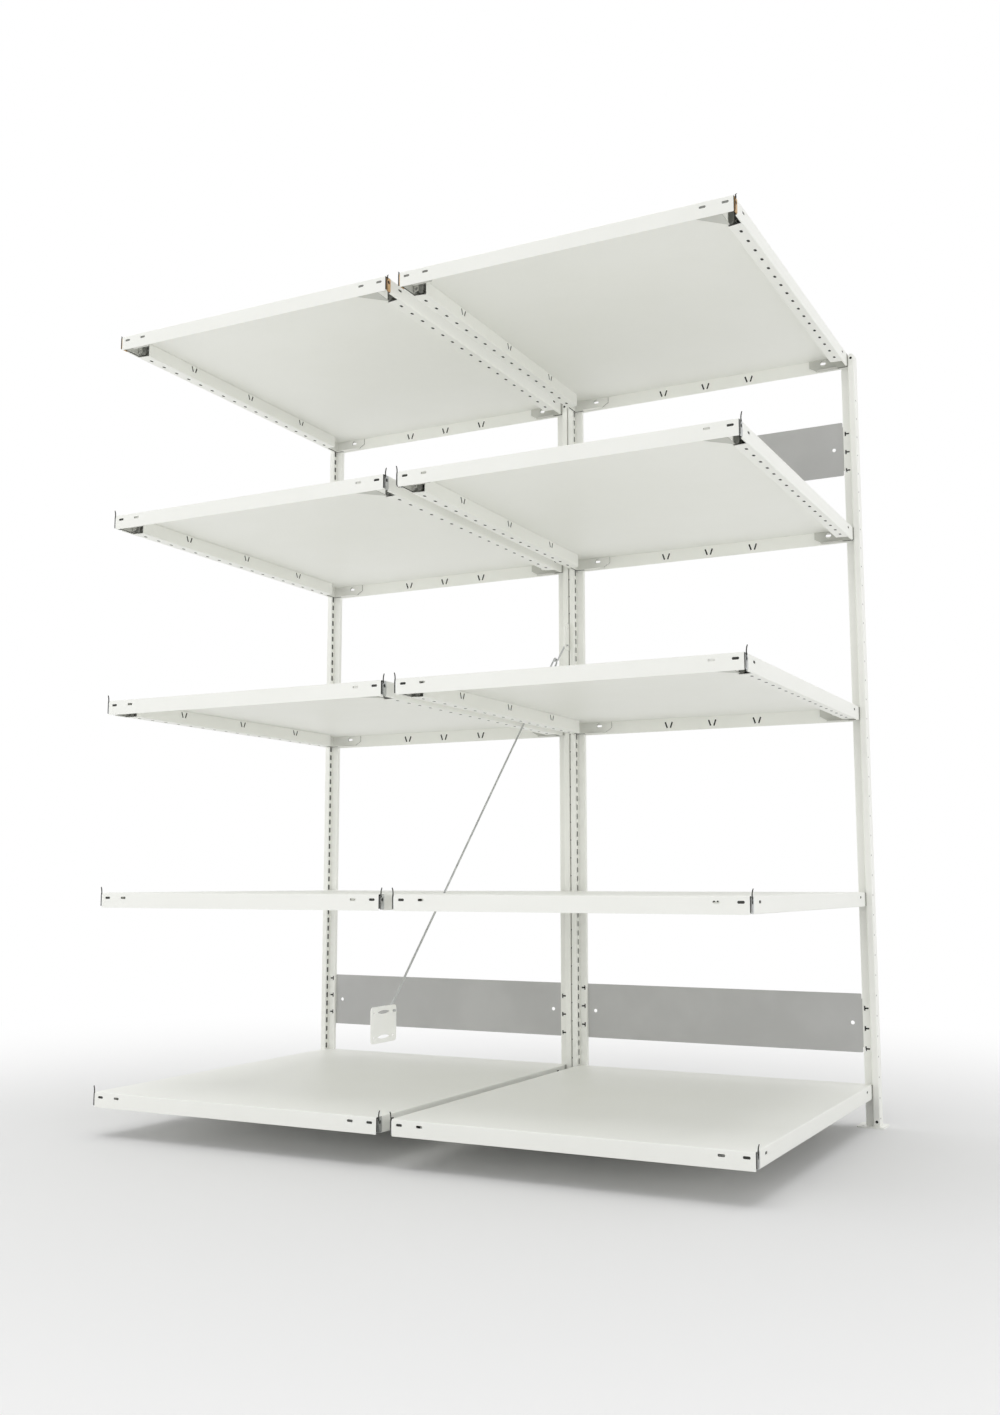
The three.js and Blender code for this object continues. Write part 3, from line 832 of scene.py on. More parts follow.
        # The pressings are closed: floors painted near black as shade show inside the rear rail, below the
        # lips and on the returns.
        return joined(
            blank.folded(fold_tray),
            flange_recesses.folded(fold_tray, inside=1, sunk=self.recess_inset),
            lip_recesses.folded(fold_tray, inside=0, sunk=self.recess_depth),
        )

    def build(self) -> None:
        """Puts all ten trays in place."""
        tray = self.shape()
        for bay, level, middle in self.unit.shelves():
            self.put(f"{bay}_tray_{level}_sheet", tray, [Finish.WHITE, Finish.SHADED], f"{bay}_shelf_{level}",
                     "white_enamel", Matrix.Translation(middle), f"{bay}_tray_{level}")
        tray.free()


class Area(IntEnum):
    """The areas of a bracket that have finishes of their own, by their indices."""

    WEB = 0
    FLANGE_LEG = 1
    HOOK_PLATE = 2
    LUG = 3
    WALL = 4
    RAIL_LEG = 5
    NEAR_WALL = 6
    FOOT = 7


@dataclass
class Brackets(Part):
    """The corner brackets with their hooks, four in each tray."""

    sheet: float = 1.5
    bend_radius: float = 3.0
    front_inset: float = 1.3
    rear_inset: float = 1.5
    rail_leg: float = 105.0
    flange_leg: float = 89.0
    height: float = 32.0
    cut_length: float = 18.0
    cut_height: float = 14.0
    hole_inset: float = 68.0
    hole_drop: float = 12.6
    hole_radius: float = 7.5
    full_web: float = 60.0
    rear_web: float = 11.0
    web_from: float = 27.0
    web_tip: float = 0.5
    wall_inset: float = 57.0
    wall_length: float = 28.5
    wall_top: float = 1.0
    wall_notch: float = 25.0
    wall_low_part: float = 17.0
    wall_slant: float = 2.5
    wall_corner: float = 3.0
    foot_length: float = 14.0
    opening_middle: complex = -8.6 - 18.5j
    opening: Triple = (7.0, 6.4, 2.6)
    lug_sheet: float = 1.8
    lug_bend: float = 2.4
    plate_proud: float = 0.5
    plate_height: float = 33.0
    plate_gap: float = 1.5
    plate_cut: float = 2.0
    plate_corner: float = 3.0
    plate_hole: tuple[complex, float] = (-10.5 - 12.5j, 4.4)
    notch: float = 21.7
    front_neck: float = -14.0
    rear_neck: float = -22.7
    neck_height: float = 9.0
    lug_face: float = 6.6
    front_lug_faces: Pair = (1.0, 3.5)
    lug_reach: float = 5.7
    front_plate_shade: float = 1.5
    rear_plate_shade: float = 5.0
    stems: Pair = (5.8, 3.4)
    stem_top: float = -10.0
    stem_cut: Pair = (0.4, 1.2)
    stem_shoulder: Pair = (1.2, -6.0)
    low_prong: float = 0.12
    # Points of the prong and of the rear tooth, from the lug's end and from the tray's top or the neck.
    prong: tuple[Pair, ...] = (
        (-2.0, 0.0), (-1.7, 5.0), (-0.9, 9.5), (0.0, 13.0), (-0.5, 13.9), (-1.5, 13.4), (-2.8, 10.0),
        (-3.7, 5.2), (-4.0, 0.0),
    )
    tooth: tuple[Pair, ...] = (
        (-1.5, 0.0), (0.0, 1.5), (0.0, 15.5), (-0.9, 17.0), (-1.9, 16.2), (-2.5, 9.0),
    )

    def pressed(self, inset: float, web: float, holed: bool) -> Mesh:
        """Folds the two legs and the bottom web, with the corner at the origin and the legs along +X and +Y.

        Args:
            inset: Distance from the tray's outer faces to the bracket's.
            web: How far the web reaches in from the rail leg.
            holed: Whether the rail leg has its round hole.

        Returns:
            The mesh, in which the skins of the legs towards the tray have the web's finish.
        """
        rail, flange, low = self.rail_leg - inset, self.flange_leg - inset, -self.height
        plan = FoldPath(outline((rail, 0), (0, 0), (0, flange)), self.bend_radius, self.sheet, -rail)
        drop = FoldPath(outline((self.full_web, low), (0, low), (0, 0)), self.bend_radius, self.sheet,
                        low - self.full_web)
        ease, cut, near, far = plan.ease(1), self.cut_height + low, -self.web_from, self.cut_length - rail
        hole = circle(complex(inset - self.hole_inset, inset - self.hole_drop), self.hole_radius, 24)
        blank = Blank(self.sheet)
        blank.strip(plan.bend(1), low, 0.0, finish=Area.FLANGE_LEG)
        blank.flat(outline((-ease, 0), (-rail, 0), (-rail, cut), (far, low + ease), (near, low + ease),
                           (near, low), (-ease, low)), [hole] if holed else [], Area.RAIL_LEG)
        leg = outline((ease, 0), (ease, low), (flange - self.cut_length, low), (flange, cut), (flange, 0))
        blank.flat(leg, finish=Area.FLANGE_LEG)
        blank.strip(drop.bend(1), far, near, upright=False)
        reach, top = min(web, near - far - self.web_tip), low - ease
        blank.flat(outline((far, top), (reach + far, top - reach), (near, top - reach), (near, top)))

        def fold_bracket(along: float, rise: float, depth: float) -> Triple:
            """Folds the corner, and turns the web in under the rail leg."""
            corner, turned = plan.at(along, depth), drop.at(rise, depth)
            return corner.real, corner.imag + turned.real - depth, turned.imag

        return blank.folded(fold_bracket, inside=Area.WEB)

    def cross_wall(self, inset: float, holed: bool) -> Mesh:
        """Folds the wall that stands across the bracket, with its foot on the flange leg.

        Args:
            inset: Distance from the tray's outer faces to the bracket's.
            holed: Whether the part beside the leg has its opening.

        Returns:
            The mesh.
        """
        start, sheet = self.wall_inset - inset, self.sheet
        plan = FoldPath(outline((self.wall_length, start), (sheet, start), (sheet, start + self.foot_length)),
                        self.bend_radius, sheet, sheet - self.wall_length)
        low, middle, high, cut = -self.height, -self.wall_notch, -self.wall_top, self.wall_corner
        far, step = sheet - self.wall_length, self.wall_slant - self.wall_low_part
        opening = rectangle(self.opening_middle, *self.opening)
        blank = Blank(sheet)
        blank.strip(plan.bend(1), middle, high, finish=Area.NEAR_WALL)
        blank.flat(outline((step, middle), (step, high), (far, high), (far, low + cut), (far + cut, low),
                           (-self.wall_low_part, low)), finish=Area.WALL)
        blank.flat(band(step, -plan.ease(1), middle, high), [opening] if holed else [], Area.NEAR_WALL)
        blank.flat(band(*plan.span(1), middle, high), finish=Area.FOOT)
        return blank.folded(plan.upright)

    def hook(self, front: bool, rise: float, side: int) -> Mesh:
        """Folds the hook plate and its lug, outwards along +X and rearwards along +Y from the tray's corner.

        Args:
            front: Whether it is a free front hook, whose prong curls up above the tray.
            rise: Share of its full height that the prong reaches.
            side: +1 for a tray's right end, -1 for its left one.

        Returns:
            The mesh, in millimetres from the tray's corner.
        """
        inner = self.plate_proud - self.lug_sheet
        face = self.front_lug_faces[side > 0] if front else self.lug_face
        plan = FoldPath(outline((inner, -self.notch), (inner, -face), (self.lug_reach, -face)), self.lug_bend,
                        self.lug_sheet, face - self.notch)
        ease, far, end = plan.ease(1), face - self.notch, self.lug_reach - inner
        high, cut, corner = -self.plate_gap, self.plate_cut, self.plate_corner
        low = high - self.plate_height
        neck = self.front_neck if front else self.rear_neck
        neck_top = neck + self.neck_height
        foot = low + cut if front else neck
        # Painted shade: on a rear hook the dark plate finish covers only a band of this width beside the
        # rail's end, and the rest of the plate takes the web's finish.
        seam = -ease - (self.front_plate_shade if front else self.rear_plate_shade)
        blank = Blank(self.lug_sheet)
        blank.strip(plan.bend(1), foot, neck_top, finish=Area.HOOK_PLATE)
        lower = [(-ease, place) for place in sorted({low + cut, foot})]
        blank.flat(outline((seam, low), (-ease - cut, low), *lower, (-ease, neck_top), (-ease, high - cut),
                           (-ease - cut, high), (seam, high)), finish=Area.HOOK_PLATE)
        cover = outline((far + corner, low), (seam, low), (seam, high), (far + corner, high),
                        (far, high - corner), (far, low + corner))
        blank.flat(cover, [circle(*self.plate_hole)] if front else [], Area.HOOK_PLATE if front else Area.WEB)
        if front:
            stem, (inwards, upwards) = self.stems[side > 0], self.stem_cut
            shoulder, shoulder_height = self.stem_shoulder
            edge = [(stem - inwards, foot), (stem, foot + upwards), (stem, self.stem_top),
                    (end - shoulder, shoulder_height), *((end + x, rise * y) for x, y in self.prong),
                    (end + self.prong[-1][0], neck_top)]
        else:
            edge = [(end + x, neck + y) for x, y in self.tooth]
        blank.flat(outline((ease, foot), *edge, (ease, neck_top)), finish=Area.LUG)
        return blank.folded(plan.upright)

    @staticmethod
    def finishes(front: bool, topmost: bool, side: int) -> list[Finish]:
        """The finishes of a bracket, in the order of its areas, many of them painted shade.

        Args:
            front: Whether it is a front bracket.
            topmost: Whether its tray is the highest one.
            side: The end of the tray that it is at, -1 for the left one.

        Returns:
            One finish for each area.
        """
        # Painted shade: leg skins that show through the tray's slots, the lugs and the corner-facing walls
        # are darkened, and the webs greyed, where they lie in shade.
        if front:
            plate = Finish.YELLOW if topmost else Finish.BRIGHT
            # Painted shade: on a right front bracket the wall's near part and foot face into the shaded
            # corner and are dark; on a left one they are pale.
            near = [Finish.DARK, Finish.DARK] if side > 0 else [Finish.BRACKET_SHADE, Finish.WHITE]
            rail = Finish.DULL if topmost else Finish.DARK
            return [Finish.BRACKET_SHADE, Finish.DARK, plate, Finish.DARK, Finish.DULL, rail, *near]
        # Painted shade for a rear bracket: its webs are greyed, the right one more, and its hook plate is
        # dark.
        plate = Finish.AGED if topmost else Finish.DARK
        web = Finish.BRACKET_SHADE if side > 0 else Finish.MUTED
        return [web, Finish.DARK, plate, Finish.DULL, Finish.WHITE, Finish.DARK, Finish.WHITE, Finish.WHITE]

    def build(self) -> None:
        """Puts the brackets of all trays in place."""
        shapes = {}
        for front, topmost, side in product((True, False), (True, False), (-1, 1)):
            inset = self.front_inset if front else self.rear_inset
            web = self.full_web if front and side > 0 else self.rear_web
            pressed = self.pressed(inset, web, holed=not (front and topmost))
            wall = self.cross_wall(inset, holed=front and side < 0)
            hook = self.hook(front, self.low_prong if topmost else 1.0, side)
            # The pressed part is drawn inwards from the corner, and the hook outwards from it.
            inward = Matrix.Translation((-inset, -inset, -inset)) @ Matrix.Diagonal((-1.0, -1.0, 1.0, 1.0))
            for mesh in (pressed, wall):
                bmesh.ops.transform(mesh, matrix=inward, verts=mesh.verts[:])
            shapes[front, topmost, side] = joined(pressed, wall, hook)
        for bay, level, middle in self.unit.shelves():
            topmost = level == len(self.unit.levels)
            for side, front in product((-1, 1), (True, False)):
                way = -1 if front else 1
                corner = middle + Vector((side * self.unit.end, way * self.unit.rail_plane, 0.0))
                place = Matrix.Translation(corner) @ Matrix.Diagonal((side, way, 1.0, 1.0))
                where = f"{'front' if front else 'rear'}_{'right' if side > 0 else 'left'}"
                name = f"{bay}_tray_{level}_{where}"
                self.put(f"{name}_bracket", shapes[front, topmost, side], self.finishes(front, topmost, side),
                         f"{bay}_shelf_{level}", "yellow_zinc" if topmost else "bright_zinc", place,
                         None if front else f"{name}_hook")
        for shape in shapes.values():
            shape.free()


@dataclass
class Uprights(Part):
    """The four slotted uprights, each a folded section that is open to the rear."""

    sheet: float = 1.5
    bend_radius: float = 2.6
    end_gap: float = 1.0
    box_width: float = 16.5
    front: float = -15.0
    rear: float = 20.0
    web_return: float = 8.0
    flange_reach: float = 21.0
    flange_gap: float = 0.5
    flange_lip: float = 10.0
    slot_pitch: float = 25.0
    slot: Triple = (8.0, 15.0, 1.8)
    slot_middle: float = -7.5
    lowest_slot: float = 14.5
    dot_pitch: float = 50.0
    lowest_dot: float = 20.0
    dots: int = 38
    dot_radius: float = 2.2
    dot_inset: float = 7.0
    end_hole_inset: float = 12.0
    end_hole_radius: float = 3.5
    bolt_hole_radius: float = 3.3
    tee_pitch: float = 50.0
    tees: int = 3
    tee_bar: Pair = (4.0, 12.0)
    tee_stem: Pair = (8.0, 4.0)
    tee_inset: float = 4.0
    ear: float = 5.0
    ear_curve: tuple[Pair, ...] = ((0.3, 2.6), (1.3, 0.9), (3.2, 0.0))
    recess_depth: float = 0.15

    def tee(self, bar_edge: float, height: float) -> list[complex]:
        """Outline of a T-hole whose bar begins at a place and whose stem points back along the path.

        Args:
            bar_edge: Place of the bar's outer edge along the path.
            height: Height of the hole's middle.

        Returns:
            The points of the outline.
        """
        near = bar_edge - self.tee_bar[0]
        far = near - self.tee_stem[0]
        half, slim = self.tee_bar[1] / 2, self.tee_stem[1] / 2
        lower = outline((bar_edge, -half), (near, -half), (near, -slim), (far, -slim))
        return [point + 1j * height for point in with_mirror(lower, 1)]

    def shape(self, bay: int, bolted: bool) -> Mesh:
        """Folds one upright, outwards along +X from its bay's end and rearwards along +Y.

        Args:
            bay: The side on which its bay lies, which sets the heights of its T-holes.
            bolted: Whether its web has bolt holes.

        Returns:
            The mesh.
        """
        wall, web = self.end_gap, self.end_gap + self.box_width
        face, lip = self.flange_gap, -self.flange_reach
        path = FoldPath(outline((web - self.web_return, self.rear), (web, self.rear), (web, self.front),
                                (wall, self.front), (wall, face), (lip, face), (lip, face + self.flange_lip)),
                        self.bend_radius, self.sheet)
        marks, low = path.marks, self.unit.upright_foot
        high = low + self.unit.upright_height
        rim, middle = high - self.ear, (marks[2] + marks[3]) / 2
        dots = [circle(complex(marks[2] - self.dot_inset, low + self.lowest_dot + step * self.dot_pitch),
                       self.dot_radius, 8) for step in range(self.dots)]
        bolt_line = marks[1] + self.rear - self.unit.bolt_middle
        bolts = [circle(complex(bolt_line, height), self.bolt_hole_radius, 12)
                 for _, height in self.unit.bolts if bolted]
        ends = [circle(complex(middle, height), self.end_hole_radius)
                for height in (low + self.end_hole_inset, high - self.end_hole_inset)]
        slot_line = marks[3] + self.slot_middle - self.front
        last_slot = int((high - self.lowest_slot - self.slot[1]) // self.slot_pitch)
        slots = [rectangle(complex(slot_line, self.lowest_slot + step * self.slot_pitch), *self.slot, 2)
                 for step in range(last_slot + 1)]
        tees = [self.tee(marks[5] - self.tee_inset,
                         centre + bay * (self.slot_pitch / 2 + self.tee_pitch * (1 - step)))
                for _, centre in self.unit.panel_rows for step in range(self.tees)]
        blank = Blank(self.sheet)
        for corner in range(1, 6):
            blank.strip(path.bend(corner), low, rim, finish=1 if corner in (2, 3) else 0)
        for run, holes in ((0, []), (1, dots + bolts), (3, slots), (4, tees), (5, [])):
            blank.flat(band(*path.span(run), low, rim), holes, 1 if run in (1, 3) else 0)
        half = path.span(2)[1] - middle
        ear = outline((half, low), (half, rim), *((half - x, high - y) for x, y in self.ear_curve))
        blank.flat([middle + point for point in with_mirror(ear)], ends, 1)
        floors = Blank(self.sheet - 2 * self.recess_depth)
        for hole in (*dots, *ends):
            floors.flat(hole, finish=2)
        # The inner skin of the box section is painted dim grey as shade, so the slots read dark. The round
        # pressings are closed by floors painted near black as shade.
        section = blank.folded(path.upright, outside=0)
        return joined(section, floors.folded(path.upright, sunk=self.recess_depth))

    def build(self) -> None:
        """Puts the four uprights in place."""
        for name, bay, middle, place in self.unit.uprights():
            shape = self.shape(bay, bolted=middle)
            self.put(f"{name}_slotted_upright", shape, [Finish.WHITE, Finish.INSIDE_SHADE, Finish.SHADED], "frame",
                     "white_enamel", place, f"{name}_upright")
            shape.free()


@dataclass
class FootPlates(Part):
    """The plate under each upright, with a tab that stands up inside it."""

    thickness: float = 3.0
    bay_reach: float = 40.0
    end_reach: float = 28.0
    middle_reach: float = 18.7
    front: float = -24.0
    rear: float = 45.0
    corner: float = 6.0
    anchors: tuple[complex, ...] = (-26.0 - 9.0j, -26.0 + 30.0j)
    anchor_radius: float = 4.2
    window_middle: float = 19.0
    window_length: float = 30.0
    window_corner: float = 1.5
    tab_sheet: float = 2.0
    tab_bend: float = 3.2
    tab_base: float = 0.6
    tab_height: float = 33.0
    tab_foot: float = 9.0
    tab_front: float = -13.2
    tab_from: float = 2.8
    tab_to: float = 15.7
    tab_corner: float = 3.0
    tab_hole_drop: float = 22.0
    tab_hole_radius: float = 3.2

    def shape(self, reach: float) -> Mesh:
        """Makes one plate with its tab, outwards along +X from the bay's end and rearwards along +Y.

        Args:
            reach: How far it reaches outwards from the bay's end.

        Returns:
            The mesh of the plate and its tab.
        """
        left, right, front = self.tab_from, self.tab_to, self.tab_front
        centre = (left + right) / 2
        middle = complex((reach - self.bay_reach) / 2, (self.front + self.rear) / 2)
        window = rectangle(complex(centre, front + self.window_middle), right - left, self.window_length,
                           self.window_corner)
        plate = Blank(self.thickness)
        plate.flat(rectangle(middle, reach + self.bay_reach, self.rear - self.front, self.corner, 5),
                   [*(circle(anchor, self.anchor_radius, 20) for anchor in self.anchors), window])
        base = plate.folded(lambda x, y, depth: (x, y, self.thickness - depth))
        path = FoldPath(outline((front + self.tab_foot, self.tab_base), (front, self.tab_base),
                                (front, self.tab_height)), self.tab_bend, self.tab_sheet, -self.tab_foot)
        low, high = path.span(1)
        cut = self.tab_corner
        tab = Blank(self.tab_sheet)
        tab.strip(path.bend(1), left, right)
        tab.flat(band(*path.span(0), left, right))
        tab.flat(outline((low, left), (high - cut, left), (high, left + cut), (high, right - cut),
                         (high - cut, right), (low, right)),
                 [circle(complex(self.tab_height - self.tab_hole_drop, centre), self.tab_hole_radius, 14)])

        def fold_tab(along: float, x: float, depth: float) -> Triple:
            """Folds the tab up from its foot."""
            y, z, _ = path.upright(along, x, depth)
            return x, y, z

        return joined(base, tab.folded(fold_tab))

    def build(self) -> None:
        """Puts the four plates in place."""
        for name, _, middle, place in self.unit.uprights():
            shape = self.shape(self.middle_reach if middle else self.end_reach)
            self.put(f"{name}_floor_plate", shape, [Finish.WHITE], "frame", "white_enamel", place,
                     f"{name}_foot_plate")
            shape.free()


@dataclass
class BackPanels(Part):
    """The four grey panels that hook into the uprights."""

    sheet: float = 1.5
    bend_radius: float = 2.3
    height: float = 146.0
    left_end: float = 18.5
    right_end: float = 24.5
    corner: float = 3.0
    hole_radius: float = 5.0
    hole_inset: float = 24.0
    tongue: float = 120.0
    plate_front: float = 10.8
    wall: float = 380.8
    hook_front: float = 2.3
    hook_height: float = 140.0
    hook_length: float = 15.0
    hook_slant: float = 2.0
    hook_corner: float = 3.0
    studs: int = 3
    stud_width: float = 2.0
    stud_height: float = 6.0
    stud_corner: float = 0.8
    stud_middle: float = 385.0
    stud_front: float = 0.5
    stud_pitch: float = 50.0
    stud_offset: float = 62.5

    def shape(self) -> Mesh:
        """Folds one panel about the middle of its bay and of its own height.

        Returns:
            The mesh of the folded panel.
        """
        front, wall, end = self.hook_front, self.wall, self.unit.end
        right_half = outline((wall + self.hook_length, front), (wall, front), (wall, self.plate_front))
        path = FoldPath(with_mirror(right_half), self.bend_radius, self.sheet)
        middle = (path.marks[2] + path.marks[3]) / 2
        rise, slim, tall = self.height / 2, self.tongue / 2, self.hook_height / 2
        # Places along the blank grow from the right end to the left one.
        right, left = middle - (end - self.right_end), middle + (end - self.left_end)
        start, stop = path.span(2)
        plate = turned_corners(band(right, left, -rise, rise), self.corner, 6)
        mid = len(plate) // 2
        blank = Blank(self.sheet)
        spots = (right + self.hole_inset, left - self.hole_inset)
        blank.flat([*plate[:mid], *outline((left, -slim), (stop, -slim), (stop, slim), (left, slim)),
                    *plate[mid:], *outline((right, slim), (start, slim), (start, -slim), (right, -slim))],
                   [circle(spot, self.hole_radius, 20) for spot in spots])
        for corner in (1, 2, 3, 4):
            blank.strip(path.bend(corner), -slim, slim)
        for run in (1, 3):
            blank.flat(band(*path.span(run), -slim, slim))
        # Painted shade: the hooks' faces towards the uprights and the studs are near black, so the uprights'
        # T-holes read dark.
        for near, far in (path.span(0)[::-1], path.span(4)):
            way = math.copysign(1.0, far - near)
            cut = self.hook_corner
            lower = outline((near, -slim), (near + way * self.hook_slant, -tall), (far - way * cut, -tall),
                            (far, cut - tall))
            blank.flat(with_mirror(lower, 1), finish=1)
        pieces = [blank.folded(path.upright, inside=0)]
        depth = front + self.sheet - self.stud_front
        for side, step in product((-1, 1), range(self.studs)):
            place = complex(self.stud_front + depth / 2, side * (step * self.stud_pitch - self.stud_offset))
            stud = Blank(self.stud_width)
            stud.flat(rectangle(place, depth, self.stud_height, self.stud_corner), finish=1)
            face = side * self.stud_middle + self.stud_width / 2
            pieces.append(stud.folded(lambda y, z, sunk, face=face: (face - sunk, y, z)))
        return joined(*pieces)

    def build(self) -> None:
        """Puts the four panels in place."""
        shape = self.shape()
        for (row, centre), bay in product(self.unit.panel_rows, Bay):
            place = Matrix.Translation((bay.sign * self.unit.bay_centre, self.unit.rail_plane, centre))
            self.put(f"{bay.value}_{row}_grey_panel", shape, [Finish.GREY, Finish.SHADED], "frame",
                     "grey_enamel", place, f"{bay.value}_{row}_back_panel")
        shape.free()


@dataclass
class Bracing(Part):
    """The brace between the bays: two slotted plates, and the rod and link that are hooked between them."""

    sheet: float = 2.0
    depth: float = 102.0
    height: float = 77.0
    corner: float = 8.0
    offset: float = 6.0
    across: float = 78.0
    rise: float = 52.0
    hole_radius: float = 3.1
    slot_length: float = 52.0
    slot_height: float = 8.0
    slot_steps: int = 8
    front_centre: float = 302.0
    rear_centre: float = 1302.0
    wire_radius: float = 2.5
    tip: float = 6.0
    rod_plane: float = 10.5
    link_plane: float = 4.5
    rod_bend: float = 5.0
    link_bend: float = 4.0
    hook_radius: float = 9.0
    hook_tail: float = 9.0
    link_length: float = 72.0
    seat_gap: float = 0.3

    def plate_shape(self) -> Mesh:
        """Makes one plate in the YZ plane about its middle.

        Returns:
            The mesh of the plate.
        """
        shares = [2 * step / self.slot_steps - 1 for step in range(self.slot_steps + 1)]
        bow = [complex(self.slot_length * share, self.slot_height * (1 - share ** 2)) / 2 for share in shares]
        lens = [*bow, *(point.conjugate() for point in reversed(bow[1:-1]))]
        holes = []
        for side in (-1, 1):
            holes.append([point + 0.5j * side * self.rise for point in lens])
            holes += [circle(complex(side * self.across, way * self.rise) / 2, self.hole_radius)
                      for way in (-1, 1)]
        blank = Blank(self.sheet)
        blank.flat(rectangle(0, self.depth, self.height, self.corner, 6), holes)
        return blank.folded(lambda y, z, depth: (self.sheet / 2 - depth, y, z))

    @staticmethod
    def arc(start: Vector, leaving: Vector, turning: Vector, radius: float, turn: float = math.pi / 2,
            steps: int = 6) -> list[Vector]:
        """Points of a bend of the wire.

        Args:
            start: Where the bend begins.
            leaving: The way in which it begins.
            turning: The way towards which it turns.
            radius: Radius of the bend.
            turn: Angle of the bend.
            steps: Straight steps in it.

        Returns:
            The points, with both ends.
        """
        angles = (step * turn / steps for step in range(steps + 1))
        return [start + leaving * radius * math.sin(angle) + turning * radius * (1 - math.cos(angle))
                for angle in angles]

    def wire(self, name: str, node: str, points: Sequence[Vector]) -> None:
        """Sweeps a round wire along a path and puts it in place.

        Args:
            name: Name of the piece.
            node: CAD node that it stands for.
            points: Places that its middle follows.
        """
        curve = bpy.data.curves.new(name, "CURVE")
        curve.dimensions = "3D"
        curve.bevel_depth = self.wire_radius
        curve.bevel_resolution = 4
        curve.use_fill_caps = True
        line = curve.splines.new("POLY")
        line.points.add(len(points) - 1)
        for knot, point in zip(line.points, points):
            knot.co = (*point, 1.0)
        carrier = shown(f"{name}_line", curve)
        bpy.context.view_layer.update()
        mesh = bmesh.new()
        mesh.from_mesh(carrier.to_mesh())
        carrier.to_mesh_clear()
        bpy.data.objects.remove(carrier)
        bpy.data.curves.remove(curve)
        bmesh.ops.remove_doubles(mesh, verts=mesh.verts[:], dist=MERGE_DISTANCE)
        turn_outwards(mesh)
        self.put(name, mesh, [Finish.BRIGHT], "frame", "bright_zinc", node=node)
        mesh.free()

    def build(self) -> None:
        """Puts the plates, the rod and the link in place."""
        middle = self.unit.rail_plane + self.offset
        shape = self.plate_shape()
        for where, y, z in (("front", -middle, self.front_centre), ("rear", middle, self.rear_centre)):
            self.put(f"{where}_slotted_plate", shape, [Finish.WHITE], "frame", "white_enamel",
                     Matrix.Translation((0.0, y, z)), f"{where}_brace_plate")
        shape.free()
        hole_in = middle - self.across / 2
        lower = Vector((0.0, -hole_in, self.front_centre + self.rise / 2))
        upper = Vector((0.0, hole_in, self.rear_centre - self.rise / 2))
        left = Vector((-1.0, 0.0, 0.0))
        down = Vector((0.0, -math.sqrt(0.5), -math.sqrt(0.5)))
        pin = upper + down * self.link_length
        in_plane = pin + left * self.link_plane
        self.wire("brace_link_wire", "brace_link", [
            upper - left * self.tip,
            *self.arc(upper + left * (self.link_plane - self.link_bend), left, down, self.link_bend),
            *self.arc(in_plane - down * self.link_bend, down, left, self.link_bend),
            pin + left * (self.rod_plane + self.tip),
        ])
        # The rod's hook holds the pin, so the rod touches a circle about it.
        wide, radius = pin - lower, self.hook_radius
        reach = math.hypot(wide.y, wide.z)
        along = math.sqrt(reach ** 2 - radius ** 2)
        up = Vector((0.0, along * wide.y - radius * wide.z, along * wide.z + radius * wide.y)) / reach ** 2
        over = Vector((0.0, up.z, -up.y))
        seat = radius - 2 * self.wire_radius - self.seat_gap
        start = lower + left * self.rod_plane + up * (along - seat)
        bow = self.arc(start, up, over, radius, math.pi, 20)
        self.wire("brace_rod_wire", "brace_rod", [
            lower - left * self.tip,
            *self.arc(lower + left * (self.rod_plane - self.rod_bend), left, up, self.rod_bend),
            *bow,
            bow[-1] - up * self.hook_tail,
        ])


